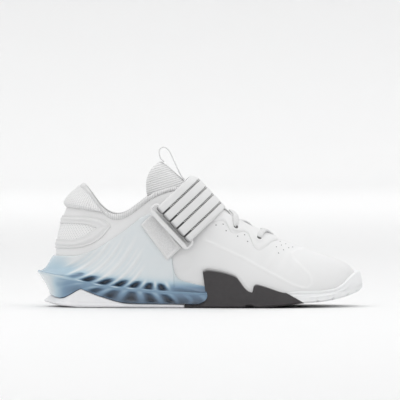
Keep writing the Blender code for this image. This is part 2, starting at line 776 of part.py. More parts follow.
def groove(obj, share, width, depth):
    """Cuts a groove across the tread at that share of the last's length."""
    x = HEEL_X + share * LAST_LENGTH
    bm = bmesh.new()
    bmesh.ops.create_cube(bm, size=1.0)
    bmesh.ops.scale(bm, vec=(width, 0.14, 2 * depth), verts=bm.verts)
    bmesh.ops.translate(bm, vec=(x, 0, ground(x)), verts=bm.verts)
    mesh = bpy.data.meshes.new("groove")
    bm.to_mesh(mesh)
    bm.free()
    cutter = bpy.data.objects.new(f"cut_{obj.name}_{share:.3f}", mesh)
    bpy.context.scene.collection.objects.link(cutter)
    cutter.hide_render = True
    cutter.display_type = "WIRE"
    modifier = obj.modifiers.new("groove", "BOOLEAN")
    modifier.operation = "DIFFERENCE"
    modifier.solver = "EXACT"
    modifier.object = cutter


# Tongue

@functools.lru_cache(maxsize=None)
def tongue_grid():
    """Rows across the tongue's outer face, from its front end to its top."""
    rows = [tongue_row(12.6 - 4.0 * t, 0.0004 + 0.0026 * t) for t in spaced(0, 1, 9)]
    rows += [free_row(table, len(rows[0])) for table in (TONGUE_MIDDLE, TONGUE_TOP)]
    grid = np.array(rows)
    free = np.stack(
        [resample(grid[-4:, j], 9) for j in range(grid.shape[1])], axis=1
    )
    return np.concatenate([grid[:-4], free])


def tongue_row(k, crown):
    """One crossing: under the outer facing, over the throat's gap, under the inner facing."""
    clear = -(UPPER_WALL + TONGUE_CLEAR)
    halves = []
    for sign in (-1, 1):
        u = k if sign < 0 else LOOP - k
        halves.append([shell(u, 0.985 - 0.195 * t, clear) for t in spaced(0, 1, 5)])
    left, right = halves[0][::-1], halves[1]
    a, b = left[-1], right[0]
    bridge = []
    for t in (0.25, 0.5, 0.75):
        lift = np.array((0.4, 0.0, 0.92)) * crown * 4 * t * (1 - t)
        bridge.append(a + (b - a) * t + lift)
    return left + bridge + right


def free_row(table, count):
    """A crossing above the throat, from a table of its half."""
    sizes = np.array((LAST_LENGTH, BALL_HALF, COLLAR_HEIGHT))
    half = np.array(table) * sizes + np.array((HEEL_X, 0.0, 0.0))
    half = resample(half, (count + 1) // 2)
    return [p * (1, -1, 1) for p in half[::-1]] + list(half[1:])


def grid_normals(grid):
    along = np.gradient(grid, axis=0)
    across = np.gradient(grid, axis=1)
    n = np.cross(across, along)
    n /= np.linalg.norm(n, axis=2, keepdims=True)
    if n[:, n.shape[1] // 2, 2].mean() < 0:
        n = -n
    return n


def make_tongue(colour):
    outer = tongue_grid()
    n = grid_normals(outer)
    rows, columns = outer.shape[:2]
    thick = np.full((rows, columns), TONGUE_THICK)
    thick[:, 0] = thick[:, -1] = TONGUE_THICK * 0.45
    thick[-1] *= 0.5
    thick[0] *= 0.4
    inner = outer - n * thick[:, :, None]
    return sheet("tongue", outer, inner, colour)


def make_tongue_loop(colour):
    """The pull loop of flat tape on the tongue's front."""
    grid = tongue_grid()
    middle = grid.shape[1] // 2
    top = grid[-1, middle]
    up = top - grid[-8, middle]
    up /= np.linalg.norm(up)
    side = np.array((0.0, 1.0, 0.0))
    out = np.cross(side, up)
    out = out if out[2] > 0 else -out
    lift = GAP + LOOP_THICK / 2
    path = [top + LOOP_REACH * along * up + (LOOP_REACH * off + lift) * out for along, off in LOOP_SHAPE]
    points = resample(path, 24)
    tangents = np.gradient(points, axis=0)
    tangents /= np.linalg.norm(tangents, axis=1, keepdims=True)
    rows = []
    for point, tangent in zip(points, tangents):
        half_w, half_t = side * LOOP_WIDTH / 2, np.cross(tangent, side) * LOOP_THICK / 2
        rows.append([
            point - half_w - half_t, point + half_w - half_t,
            point + half_w + half_t, point - half_w + half_t,
        ])
    return loft("tongue_loop", rows, colour)


def resample(points, count):
    """Points on a smooth curve through the given ones, evenly spread."""
    points = [np.array(p, float) for p in points]
    ends = [2 * points[0] - points[1], *points, 2 * points[-1] - points[-2]]
    fine = []
    for p0, p1, p2, p3 in zip(ends, ends[1:], ends[2:], ends[3:]):
        for t in np.linspace(0, 1, 12, endpoint=False):
            fine.append(0.5 * (
                2 * p1 + (p2 - p0) * t + (2 * p0 - 5 * p1 + 4 * p2 - p3) * t * t
                + (3 * p1 - p0 - 3 * p2 + p3) * t**3
            ))
    fine.append(points[-1])
    fine = np.array(fine)
    run = np.concatenate([[0], np.cumsum(np.linalg.norm(np.diff(fine, axis=0), axis=1))])
    wanted = np.linspace(0, run[-1], count)
    return np.stack([np.interp(wanted, run, fine[:, i]) for i in range(3)], axis=1)


# Strap, ring and tab

def strap_place(width, across, rise):
    """A point in the strap's own frame: along its width, across the shoe, and up."""
    centre = np.array((HEEL_X + STRAP_X * LAST_LENGTH, 0.0, STRAP_Z * COLLAR_HEIGHT))
    c, s = math.cos(STRAP_ANGLE), math.sin(STRAP_ANGLE)
    return centre + np.array((c * width + s * rise, across, -s * width + c * rise))


def strap_measure(point):
    """The same three distances of a point."""
    centre = strap_place(0, 0, 0)
    c, s = math.cos(STRAP_ANGLE), math.sin(STRAP_ANGLE)
    x, y, z = point - centre
    return c * x - s * z, y, s * x + c * z


@functools.lru_cache(maxsize=None)
def side_tree(offset):
    """A search tree of the surface at that offset, for finding the point behind a side place."""
    stations = spaced(1, TOE - 1, 96)
    levels = spaced(0, 1, 24)
    count = len(levels)
    points, faces = [], []
    for side in (-1, 1):
        base = len(points)
        for k in stations:
            u = k if side < 0 else LOOP - k
            points += [Vector(shell(u, v, offset)) for v in levels]
        faces += [
            tuple(base + n for n in (i * count + j, i * count + j + 1,
                                     (i + 1) * count + j + 1, (i + 1) * count + j))
            for i in range(len(stations) - 1) for j in range(count - 1)
        ]
    return BVHTree.FromPolygons(points, faces)


def side_point(x, z, side, offset):
    """The point of the surface at that offset behind (x, z), and its outward normal."""
    hit, n, _, _ = side_tree(offset).ray_cast(Vector((x, side * 0.2, z)), Vector((0, -side, 0)))
    n = n if n.y * side > 0 else -n
    return np.array(hit), np.array(n)


def bar_centre(rise):
    """Where a bar of the ring lies, beside the clip's wing, as (across, rise)."""
    places = [strap_place(STRAP_WIDTH * s, 0, rise) for s in (-0.5, 0.0, 0.5)]
    hits = [side_point(p[0], p[2], -1, 2 * GAP + CLIP_WALL)[0][1] for p in places]
    return np.array((min(hits) - RING_STANDOFF, rise))


def covered_points():
    """What the strap must pass over, as (across, rise)."""
    found = []
    for k in spaced(5.5, 11.5, 60):
        for u in (k, LOOP - k):
            for v in spaced(0.25, 1, 24):
                lift = 3 * GAP + (CLIP_WALL if v < 0.75 else EYESTAY_THICK)
                found.append(shell(u, v, lift))
    found += [p for row in tongue_grid() for p in row]
    measured = [strap_measure(point) for point in found]
    return [(a, r) for w, a, r in measured if abs(w) < STRAP_WIDTH / 2 + 0.001]


def turn(a, b, c):
    return (b[0] - a[0]) * (c[1] - a[1]) - (b[1] - a[1]) * (c[0] - a[0])


def taut_line(points):
    """The upper half of the points' convex hull, from one side of the shoe to the other."""
    hull = []
    for point in sorted(points):
        while len(hull) > 1 and turn(hull[-2], hull[-1], point) >= 0:
            hull.pop()
        hull.append(point)
    return hull


def strap_path():
    """The strap's inner line: round the ring's upper bar, over the instep, down the inner side."""
    bar = bar_centre(RING_RISE)
    radius = RING_BAR / 2 + 1.5 * GAP
    outside = (float(bar[0] - radius), float(bar[1]))
    hull = taut_line([*covered_points(), outside])
    over = [p for p in hull if p[0] >= outside[0] and p[1] > (STRAP_END if p[0] > 0 else bar[1])]
    even = resample_straight([outside, *over], 30)
    for _ in range(6):
        even[1:-1] = (even[:-2] + 2 * even[1:-1] + even[2:]) / 4
    tangent = np.gradient(even, axis=0)
    tangent /= np.linalg.norm(tangent, axis=1, keepdims=True)
    lift = np.minimum(0.0009, 0.0001 * np.arange(len(even)))[:, None]
    even = even + np.stack([-tangent[:, 1], tangent[:, 0]], axis=1) * lift
    hook = [
        bar + radius * np.array((math.cos(a), math.sin(a)))
        for a in np.linspace(math.radians(20), math.radians(-165), 9)
    ]
    return np.concatenate([hook, even])


def resample_straight(points, count):
    """Points evenly spread on the straight runs between the given ones."""
    points = np.array(points)
    run = np.concatenate([[0], np.cumsum(np.linalg.norm(np.diff(points, axis=0), axis=1))])
    wanted = np.linspace(0, run[-1], count)
    return np.stack([np.interp(wanted, run, column) for column in points.T], axis=1)


def strap_grid(path, offset):
    """Rows of points across the strap's width, at an offset outside its inner line."""
    tangent = np.gradient(path, axis=0)
    tangent /= np.linalg.norm(tangent, axis=1, keepdims=True)
    out = np.stack([-tangent[:, 1], tangent[:, 0]], axis=1)
    columns = ((-0.5, STRAP_REAR_DROP), (-0.33, 0.0), (0.0, 0.0), (0.5, 0.0))
    return [
        [strap_place(STRAP_WIDTH * s, a, r - drop * max(0.0, up) ** 2) for s, drop in columns]
        for (a, r), up in zip(path + out * offset, out[:, 1])
    ]


def make_strap(colour):
    """One wide strap, hooked through the ring on the outer side."""
    path = strap_path()
    return sheet("strap", strap_grid(path, STRAP_THICK), strap_grid(path, 0.0), colour)


def make_ring(colour):
    """The moulded loop: the strap turns round its upper bar, the tab lies under its lower one."""
    upper, lower = bar_centre(RING_RISE), bar_centre(RING_RISE - RING_SPAN)
    corner = RING_SPAN * 0.36
    half_l, half_w = RING_LENGTH / 2 - corner, np.linalg.norm(upper - lower) / 2 - corner
    short = (upper - lower) / np.linalg.norm(upper - lower)
    face = np.array((-short[1], short[0]))
    middle = (upper + lower) / 2
    rows = []
    for cx, cy, start in ((1, 1, 0), (-1, 1, 90), (-1, -1, 180), (1, -1, 270)):
        for step in range(4):
            a = math.radians(start + 30 * step)
            row = []
            for i in range(6):
                b = 2 * math.pi * (i + 0.5) / 6
                reach = corner + math.cos(b) * RING_BAR / 2
                width = half_l * cx + reach * math.cos(a)
                flat = middle + short * (half_w * cy + reach * math.sin(a))
                flat = flat + face * math.sin(b) * RING_BAR / 2
                row.append(strap_place(width, *flat))
            rows.append(row)
    bm = bmesh.new()
    skin(bm, rows, wrap_rows=True)
    return finish("strap_ring", bm, colour)


def make_ring_tab(colour):
    """The sewn tab on the clip's wing that holds the ring's lower bar."""
    outer, inner = [], []
    for t in spaced(0, 1, 6):
        outer_row, inner_row = [], []
        for s in spaced(-0.5, 0.5, 5):
            rise = TAB_RISE - TAB_LENGTH * t - TAB_SKEW * TAB_WIDTH * s
            place = strap_place(TAB_WIDTH * s, 0, rise)
            low, facing = side_point(place[0], place[2], -1, CLIP_WALL + 4 * GAP)
            inner_row.append(low)
            outer_row.append(low + facing * TAB_THICK * (0.55 + 0.45 * math.sin(math.pi * t)))
        outer.append(outer_row)
        inner.append(inner_row)
    return sheet("ring_tab", outer, inner, colour)


# Laces

LACE_ROWS = (11.5, 10.75, 10.0, 9.32)


def lace_line(start_k, end_k, sign):
    """The line of one lace, from an eyelet over the tongue to the next row's other side."""
    lift = 2 * GAP + EYESTAY_THICK + LACE_THICK / 2
    ends = []
    for k, side in ((start_k, sign), (end_k, -sign)):
        u = k if side < 0 else LOOP - k
        ends.append((shell(u, 0.93, lift), shell(u, 0.985, lift + 0.0002)))
    (a, a2), (b, b2) = ends
    centre = (a2 + b2) / 2 + np.array((0.0008, 0.0, 0.0026))
    return resample([a, a2, centre, b2, b], 10)


def lace_run(name, start_k, end_k, sign, colour):
    points = lace_line(start_k, end_k, sign)
    tangents = np.gradient(points, axis=0)
    tangents /= np.linalg.norm(tangents, axis=1, keepdims=True)
    rows = []
    for point, tangent in zip(points, tangents):
        across = np.cross(tangent, np.array((0.35, 0.0, 0.94)))
        across /= np.linalg.norm(across)
        up = np.cross(across, tangent)
        rows.append([
            point + across * math.cos(i * math.pi / 3) * LACE_WIDTH / 2
            + up * math.sin(i * math.pi / 3) * LACE_THICK / 2
            for i in range(6)
        ])
    return loft(name, rows, colour)


def make_laces(colour):
    """Crossed laces up the throat, joined where they cross and at the eyelets."""
    runs = []
    for number, (low, high) in enumerate(zip(LACE_ROWS, LACE_ROWS[1:])):
        for sign in (-1, 1):
            name = f"lace_run_{number}_{sign}" if runs else "laces"
            runs.append(lace_run(name, low, high, sign, colour))
    for other in runs[1:]:
        other.hide_render = True
        other.display_type = "WIRE"
        modifier = runs[0].modifiers.new("join", "BOOLEAN")
        modifier.operation = "UNION"
        modifier.solver = "EXACT"
        modifier.object = other


def main():
    for obj in list(bpy.data.objects):
        bpy.data.objects.remove(obj)
    white_leather = material("white_leather", (0.86, 0.86, 0.86), 0.5)
    white_knit = material("white_knit", (0.84, 0.84, 0.84), 0.85)
    white_foam = material("white_foam", (0.85, 0.86, 0.87), 0.6)
    white_rubber = material("white_rubber", (0.85, 0.86, 0.88), 0.45)
    dark_rubber = material("dark_rubber", (0.075, 0.072, 0.075), 0.65)
    clear_blue = material("clear_blue", (0.42, 0.58, 0.70), 0.2, clear=0.4)
    webbing = material("webbing", (0.82, 0.82, 0.83), 0.8)
    moulded = material("moulded_white", (0.84, 0.84, 0.85), 0.4)

    make_upper(white_leather)
    make_midsole(white_foam)
    make_insole(white_knit)
    make_heel_outsole(white_rubber)
    make_heel_clip(clear_blue)
    dark = make_mid_outsole(dark_rubber)
    toe = make_toe_outsole(white_rubber)
    groove(dark, 0.643, FLEX_WIDTH, FLEX_DEPTH)
    for share in (0.700, 0.745):
        groove(dark, share, GROOVE_WIDTH, GROOVE_DEPTH)
    for share in (0.862, 0.900, 0.938):
        groove(toe, share, GROOVE_WIDTH, GROOVE_DEPTH)
    make_heel_tab(white_knit)
    make_heel_counter(white_leather)
    make_binding(white_knit)
    make_eyestay("eyestay_lateral", -1, white_leather)
    make_eyestay("eyestay_medial", 1, white_leather)
    make_tongue(white_knit)
    make_tongue_loop(webbing)
    make_strap(webbing)
    make_ring(moulded)
    make_ring_tab(webbing)
    make_laces(webbing)


main()
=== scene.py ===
"""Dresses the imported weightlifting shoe: fine surfaces, knit, leather, rubber and the clear heel.

Frame: metres, +X to the toe, +Y to the inner (medial) side, +Z up, as in the CAD part.
The tables and the surface functions are those of the part, so that every piece lies where its
solid lies. A place on the upper is (u, v): u runs round the foot from the heel (0) along the outer
side to the toe (TOE) and back to the heel (LOOP), v from the feather edge (0) to the top edge (1).
"""

import functools
import math

import bmesh
import bpy
import numpy as np
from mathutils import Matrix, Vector
from mathutils.bvhtree import BVHTree


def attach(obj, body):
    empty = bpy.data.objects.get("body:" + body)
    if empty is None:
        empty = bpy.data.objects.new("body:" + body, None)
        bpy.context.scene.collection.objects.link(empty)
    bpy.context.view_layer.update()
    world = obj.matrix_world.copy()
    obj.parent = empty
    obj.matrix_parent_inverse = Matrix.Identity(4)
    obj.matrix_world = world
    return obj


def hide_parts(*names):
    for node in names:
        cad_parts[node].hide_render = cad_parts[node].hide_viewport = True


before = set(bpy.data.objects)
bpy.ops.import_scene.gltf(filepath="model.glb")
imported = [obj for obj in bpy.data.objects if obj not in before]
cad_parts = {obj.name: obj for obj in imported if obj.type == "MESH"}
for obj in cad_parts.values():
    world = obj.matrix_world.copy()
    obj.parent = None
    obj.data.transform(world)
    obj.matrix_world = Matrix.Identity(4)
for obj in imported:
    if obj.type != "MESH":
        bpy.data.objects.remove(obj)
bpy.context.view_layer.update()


# Driving sizes of the last and the upper
LAST_LENGTH = 0.280
HEEL_X = -0.134
BALL_HALF = 0.0445
COLLAR_HEIGHT = 0.113
HEEL_BED = 0.031
UPPER_WALL = 0.0025

# Sole
PLATE = 0.0032
TOE_SPRING = 0.0155
RIM_WIDTH = 0.0040
HEEL_RIM_OUT = 0.0060
HEEL_LIP = 0.0046
WING_HEIGHT = 0.0365
WING_WALL = 0.0022
DARK_RIM_OUT = 0.0042
TOE_HEIGHT = 0.0335
TOE_WALL = 0.0024
TOE_RIM_OUT = 0.0050
HEEL_JOINT = 0.425
SCARF_LOW = 0.822
SCARF_HIGH = 0.762

# Clear heel clip
CLIP_HEIGHT = 0.086
CLIP_WALL = 0.0013
CREST_HEIGHT = 0.032
SPIKE = 0.0176
CLIP_FRONT = 0.498

# Pieces on the upper
INSOLE_THICK = 0.0040
TAB_PUFF = 0.0040
COUNTER_THICK = 0.0016
EYESTAY_THICK = 0.0008
TONGUE_THICK = 0.0045
LOOP_WIDTH = 0.0100
LOOP_THICK = 0.0010
LACE_THICK = 0.0022

# Strap, its ring and the tab that holds the ring
STRAP_WIDTH = 0.0440
STRAP_THICK = 0.0018
STRAP_ANGLE = math.radians(47)
STRAP_X = 0.4575
STRAP_Z = 0.834
STRAP_END = -0.040
RING_LENGTH = 0.0500
RING_SPAN = 0.0096
RING_RISE = -0.0232
RING_BAR = 0.0024
RING_STANDOFF = 0.0036
STRAP_REAR_DROP = 0.0034
TAB_WIDTH = 0.0410
TAB_LENGTH = 0.0180
TAB_RISE = -0.0322
TAB_SKEW = 0.12
TAB_THICK = 0.0018

# Clearances, and how far a piece's inner side lies outside the upper
GAP = 0.0003
TONGUE_CLEAR = 0.0014
SKIN = 0.00012

# Stations: the toe, the whole loop, and where the vamp's ridge starts
TOE = 17
LOOP = 2 * TOE
RIDGE = 12

# One row for each station from the heel to the toe.
# Shares of LAST_LENGTH: foot_x, top_x. Shares of BALL_HALF: lateral, medial, top_y, belly_out,
# crown_out. Shares of COLLAR_HEIGHT: top_z, belly_up, crown_drop. Degrees from the heel: facing.
STATION_COLUMNS = (
    "foot_x", "lateral", "medial", "top_x", "top_y", "top_z",
    "facing", "belly_out", "belly_up", "crown_out", "crown_drop",
)
STATIONS = (
    (0.000, 0.000, 0.000, 0.089, 0.000, 1.000, 0, 0.067, 0.257, 0.450, 0.164),
    (0.018, 0.315, 0.315, 0.099, 0.225, 0.976, 38, 0.067, 0.248, 0.380, 0.168),
    (0.064, 0.573, 0.562, 0.121, 0.416, 0.911, 68, 0.078, 0.221, 0.270, 0.177),
    (0.132, 0.700, 0.663, 0.154, 0.562, 0.806, 84, 0.090, 0.195, 0.135, 0.186),
    (0.211, 0.742, 0.674, 0.200, 0.674, 0.745, 90, 0.090, 0.168, 0.045, 0.177),
    (0.289, 0.764, 0.650, 0.254, 0.700, 0.795, 92, 0.090, 0.186, 0.056, 0.177),
    (0.364, 0.800, 0.640, 0.314, 0.620, 0.905, 93, 0.078, 0.230, 0.150, 0.124),
    (0.436, 0.854, 0.655, 0.386, 0.450, 0.968, 93, 0.067, 0.283, 0.300, 0.070),
    (0.507, 0.920, 0.715, 0.457, 0.340, 0.940, 93, 0.056, 0.274, 0.390, 0.035),
    (0.579, 0.985, 0.810, 0.543, 0.292, 0.806, 92, 0.045, 0.248, 0.405, 0.027),
    (0.650, 1.010, 0.905, 0.614, 0.258, 0.702, 90, 0.045, 0.221, 0.415, 0.022),
    (0.721, 1.000, 0.966, 0.682, 0.180, 0.620, 90, 0.056, 0.195, 0.450, 0.011),
    (0.793, 0.944, 0.978, 0.750, 0.000, 0.553, 90, 0.067, 0.168, 0.560, 0.000),
    (0.857, 0.843, 0.921, 0.807, 0.000, 0.500, 95, 0.067, 0.150, 0.550, 0.006),
    (0.918, 0.674, 0.810, 0.850, 0.000, 0.462, 106, 0.067, 0.140, 0.500, 0.014),
    (0.964, 0.438, 0.640, 0.879, 0.000, 0.436, 125, 0.067, 0.135, 0.460, 0.024),
    (0.991, 0.157, 0.430, 0.896, 0.000, 0.419, 152, 0.067, 0.135, 0.440, 0.034),
    (1.000, -0.157, 0.157, 0.904, 0.000, 0.411, 180, 0.067, 0.138, 0.430, 0.038),
)

# Lines seen from the side: (share of LAST_LENGTH from the heel, share of the named height)
BED_LINE = (
    (0.000, 1.000), (0.121, 0.952), (0.264, 0.790), (0.407, 0.580), (0.550, 0.403),
    (0.693, 0.329), (0.800, 0.329), (0.907, 0.413), (1.000, 0.550),
)
DECK_LINE = ((0.000, 0.806), (0.121, 0.758), (0.264, 0.597), (0.407, 0.355), (0.500, 0.165))
GROUND_LINE = (
    (-0.043, 0.260), (-0.013, 0.180), (0.014, 0.090), (0.050, 0.035), (0.096, 0.000),
    (0.657, 0.000), (0.711, 0.060), (0.746, 0.110), (0.821, 0.260), (0.879, 0.330),
    (0.943, 0.540), (0.993, 0.810), (1.020, 1.000),
)
WING_LINE = (
    (0.498, 0.950), (0.512, 0.995), (0.545, 0.956), (0.578, 0.877), (0.598, 0.803),
    (0.611, 0.674), (0.628, 0.496), (0.641, 0.420), (0.651, 0.400), (0.656, 0.560),
    (0.664, 0.600), (0.685, 0.564), (0.711, 0.496), (0.744, 0.408), (0.761, 0.384),
    (0.860, 0.370),
)
TOE_LINE = (
    (0.740, 0.410), (0.761, 0.415), (0.810, 0.457), (0.877, 0.472), (0.917, 0.513),
    (0.950, 0.654), (0.975, 0.850), (0.990, 0.930), (1.030, 0.930),
)
CLIP_LINE = (
    (-0.010, 0.558), (0.032, 0.552), (0.064, 0.553), (0.096, 0.580), (0.130, 0.622),
    (0.180, 0.719), (0.229, 0.826), (0.262, 0.914), (0.289, 0.977), (0.311, 1.000),
    (0.329, 0.988), (0.352, 0.900), (0.374, 0.730), (0.386, 0.540), (0.395, 0.380),
    (0.415, 0.305), (0.450, 0.270), (0.500, 0.235),
)
CREST_LINE = (
    (0.000, 1.000), (0.018, 0.950), (0.064, 0.830), (0.146, 0.653), (0.207, 0.581),
    (0.264, 0.537), (0.346, 0.469), (0.446, 0.422), (0.500, 0.406),
)
CREST_OUT_LINE = (
    (0.000, 1.000), (0.018, 0.800), (0.064, 0.600), (0.132, 0.500), (0.211, 0.450),
    (0.289, 0.420), (0.364, 0.390), (0.436, 0.330), (0.500, 0.250),
)

# Lines that are shares of COLLAR_HEIGHT
TAB_LOW_LINE = ((-0.010, 0.823), (0.040, 0.815), (0.090, 0.800), (0.130, 0.786), (0.160, 0.775))
EYESTAY_LOW_LINE = (
    (0.490, 0.720), (0.525, 0.703), (0.551, 0.711), (0.563, 0.693), (0.572, 0.651),
    (0.583, 0.612), (0.597, 0.606), (0.623, 0.619), (0.638, 0.598), (0.648, 0.541),
    (0.659, 0.489), (0.674, 0.467), (0.690, 0.486), (0.722, 0.538), (0.743, 0.550),
)

# The tongue's free part, crossing by crossing: shares of LAST_LENGTH, BALL_HALF, COLLAR_HEIGHT
TONGUE_MIDDLE = (
    (0.391, 0.000, 1.112), (0.385, 0.165, 1.102), (0.371, 0.280, 1.070), (0.355, 0.350, 1.020),
    (0.343, 0.400, 0.962), (0.334, 0.435, 0.910), (0.327, 0.450, 0.850),
)
TONGUE_TOP = (
    (0.349, 0.000, 1.203), (0.343, 0.169, 1.193), (0.330, 0.303, 1.165), (0.315, 0.400, 1.119),
    (0.304, 0.450, 1.053), (0.301, 0.465, 0.991), (0.304, 0.468, 0.920),
)

# The pull loop: how far up the tongue's front and how far out from it, in shares of LOOP_REACH
LOOP_REACH = 0.0278
LOOP_SHAPE = (
    (-1.02, -0.002), (-0.90, 0.016), (-0.70, 0.085), (-0.31, 0.255), (0.02, 0.390),
    (0.21, 0.365), (0.275, 0.240), (0.215, 0.115), (0.045, 0.006),
)


def smooth(table, x):
    """A rising-x table read with a curve that never overshoots its points."""
    xs = np.array([row[0] for row in table], float)
    ys = np.array([row[1] for row in table], float)
    if x <= xs[0]:
        return float(ys[0])
    if x >= xs[-1]:
        return float(ys[-1])
    step = np.diff(xs)
    rise = np.diff(ys) / step
    slope = np.zeros(len(xs))
    slope[0], slope[-1] = rise[0], rise[-1]
    for i in range(1, len(xs) - 1):
        if rise[i - 1] * rise[i] > 0:
            slope[i] = 2 * rise[i - 1] * rise[i] / (rise[i - 1] + rise[i])
    i = int(np.searchsorted(xs, x) - 1)
    t = (x - xs[i]) / step[i]
    return float(
        ys[i] * (1 + 2 * t) * (1 - t) ** 2
        + slope[i] * step[i] * t * (1 - t) ** 2
        + ys[i + 1] * t * t * (3 - 2 * t)
        + slope[i + 1] * step[i] * t * t * (t - 1)
    )


def share_of(x):
    """How far along the last x lies, as a share of its length."""
    return (x - HEEL_X) / LAST_LENGTH


def height_line(table, size):
    """A side line as a function from x to z, both in metres."""
    return lambda x: size * smooth(table, share_of(x))


bed = height_line(BED_LINE, HEEL_BED)
deck = height_line(DECK_LINE, HEEL_BED)
ground = height_line(GROUND_LINE, TOE_SPRING)
wing_top = height_line(WING_LINE, WING_HEIGHT)
toe_top = height_line(TOE_LINE, TOE_HEIGHT)
clip_top = height_line(CLIP_LINE, CLIP_HEIGHT)
crest = height_line(CREST_LINE, CREST_HEIGHT)
crest_out = height_line(CREST_OUT_LINE, SPIKE)
tab_low = height_line(TAB_LOW_LINE, COLLAR_HEIGHT)
eyestay_low = height_line(EYESTAY_LOW_LINE, COLLAR_HEIGHT)


def closed_columns():
    """The table's columns in metres round the whole loop, with each column's spline bends."""
    rows = [dict(zip(STATION_COLUMNS, row)) for row in STATIONS]
    around = [(row, -1) for row in rows] + [(row, 1) for row in rows[-2:0:-1]]
    columns = []
    for row, side in around:
        angle = math.radians(row["facing"])
        width = row["lateral"] if side < 0 else row["medial"]
        columns.append((
            HEEL_X + row["foot_x"] * LAST_LENGTH,
            side * width * BALL_HALF,
            HEEL_X + row["top_x"] * LAST_LENGTH,
            side * row["top_y"] * BALL_HALF,
            row["top_z"] * COLLAR_HEIGHT,
            -math.cos(angle),
            side * math.sin(angle),
            row["belly_out"] * BALL_HALF,
            row["belly_up"] * COLLAR_HEIGHT,
            row["crown_out"] * BALL_HALF,
            row["crown_drop"] * COLLAR_HEIGHT,
        ))
    values = np.array(columns)
    count = len(values)
    matrix = np.zeros((count, count))
    for i in range(count):
        matrix[i, i] = 2 / 3
        matrix[i, (i + 1) % count] = 1 / 6
        matrix[i, (i - 1) % count] = 1 / 6
    bends = np.linalg.solve(matrix, np.roll(values, -1, 0) - 2 * values + np.roll(values, 1, 0))
    return values, bends


COLUMNS, BENDS = closed_columns()


@functools.lru_cache(maxsize=None)
def station(u):
    """Every column at u, on a spline that is smooth all the way round."""
    u %= LOOP
    i = int(u)
    j = (i + 1) % LOOP
    t = u - i
    s = 1 - t
    row = s * COLUMNS[i] + t * COLUMNS[j] + ((s**3 - s) * BENDS[i] + (t**3 - t) * BENDS[j]) / 6
    row[5:7] /= math.hypot(row[5], row[6])
    k = min(u, LOOP - u)
    side = -1 if u <= TOE else 1
    row[3] = 0.0 if k >= RIDGE else side * max(0.0, side * row[3])
    return row


@functools.lru_cache(maxsize=None)
def foot(u):
    """The feather edge, where the upper meets the midsole."""
    row = station(u)
    return np.array((row[0], row[1], bed(row[0])))


@functools.lru_cache(maxsize=None)
def controls(u):
    """The four points of the section's curve at u: feather edge, belly, crown and top."""
    row = station(u)
    out = np.array((row[5], row[6], 0.0))
    up = np.array((0.0, 0.0, 1.0))
    low = foot(u)
    top = np.array((row[2], row[3], row[4]))
    return low, low + row[7] * out + row[8] * up, top + row[9] * out - row[10] * up, top


@functools.lru_cache(maxsize=None)
def section(u, v):
    """A point of the upper's outer surface."""
    low, belly, crown, top = controls(u)
    s = 1 - v
    return s**3 * low + 3 * s * s * v * belly + 3 * s * v * v * crown + v**3 * top


def side_normal(u, v):
    """The outward normal of the surface there, from the points around it."""
    inner = min(max(v, 0.012), 0.975)
    along = section(u + 0.02, inner) - section(u - 0.02, inner)
    up = section(u, inner + 0.01) - section(u, inner - 0.01)
    n = np.array((
        along[1] * up[2] - along[2] * up[1],
        along[2] * up[0] - along[0] * up[2],
        along[0] * up[1] - along[1] * up[0],
    ))
    return n / math.sqrt(n @ n)


@functools.lru_cache(maxsize=None)
def normal(u, v):
    """The outward normal there. On the vamp's ridge it is the mean of both sides."""
    n = side_normal(u, v)
    if min(u % LOOP, LOOP - u % LOOP) >= RIDGE and v > 0.97:
        n = n + side_normal(LOOP - u % LOOP, v)
        n[1] = 0.0
        n /= np.linalg.norm(n)
    return n


def shell(u, v, offset):
    """A point that far outside the upper's outer surface."""
    return section(u, v) + offset * normal(u, v)


def plan(u, out, z):
    """A point beside the feather edge, that far outside it, at height z."""
    row = station(u)
    return np.array((row[0] + out * row[5], row[1] + out * row[6], z))


def halve(low, high, steps, below):
    """Closes in on the place between low and high where below stops being true."""
    for _ in range(steps):
        middle = (low + high) / 2
        if below(middle):
            low = middle
        else:
            high = middle
    return high


@functools.lru_cache(maxsize=None)
def rise_to(u, line):
    """v where the section at u crosses a side line, from below."""
    def below(v):
        point = section(u, v)
        return point[2] < line(point[0])

    return 1.0 if below(1.0) else halve(0.0, 1.0, 24, below)


def station_at(share):
    """The station number whose feather edge is at that share of the last's length."""
    x = HEEL_X + share * LAST_LENGTH
    return halve(0.0, float(TOE), 30, lambda u: station(u)[0] < x)


def on_side(k, side):
    """The station k steps from the heel along the outer side (below 0) or the inner side."""
    return k if side < 0 else LOOP - k


def spaced(start, end, count):
    """Evenly spaced numbers from start to end, with count steps between them."""
    return [float(x) for x in np.linspace(start, end, count + 1)]


@functools.lru_cache(maxsize=None)
def level_line(height):
    """A side line at one height."""
    return lambda x: height


def clip_flare(share, t):
    """How much of the crest's overhang is left, a share t of the way up the wing."""
    tail = smooth(((0.0, 1.0), (0.09, 0.0)), share)
    steep = (1 - t) ** 3.2
    return steep + tail * (0.45 * (1 - t) ** 7 + 0.52 * (1 - t) ** 0.8 - steep)


def scarf_plane(shift):
    """A point on the slanted joint of the dark and the toe rubber, and its direction forward."""
    low = Vector((HEEL_X + SCARF_LOW * LAST_LENGTH + shift, 0, 0.0042))
    high = Vector((HEEL_X + SCARF_HIGH * LAST_LENGTH + shift, 0, 0.0140))
    along = high - low
    return low, Vector((along.z, 0, -along.x)).normalized()


# Tongue

@functools.lru_cache(maxsize=None)
def tongue_grid():
    """Rows across the tongue's outer face, from its front end to its top."""
    rows = [tongue_row(12.6 - 4.0 * t, 0.0004 + 0.0026 * t) for t in spaced(0, 1, 9)]
    rows += [free_row(table, len(rows[0])) for table in (TONGUE_MIDDLE, TONGUE_TOP)]
    grid = np.array(rows)
    free = np.stack(
        [resample(grid[-4:, j], 9) for j in range(grid.shape[1])], axis=1
    )
    return np.concatenate([grid[:-4], free])


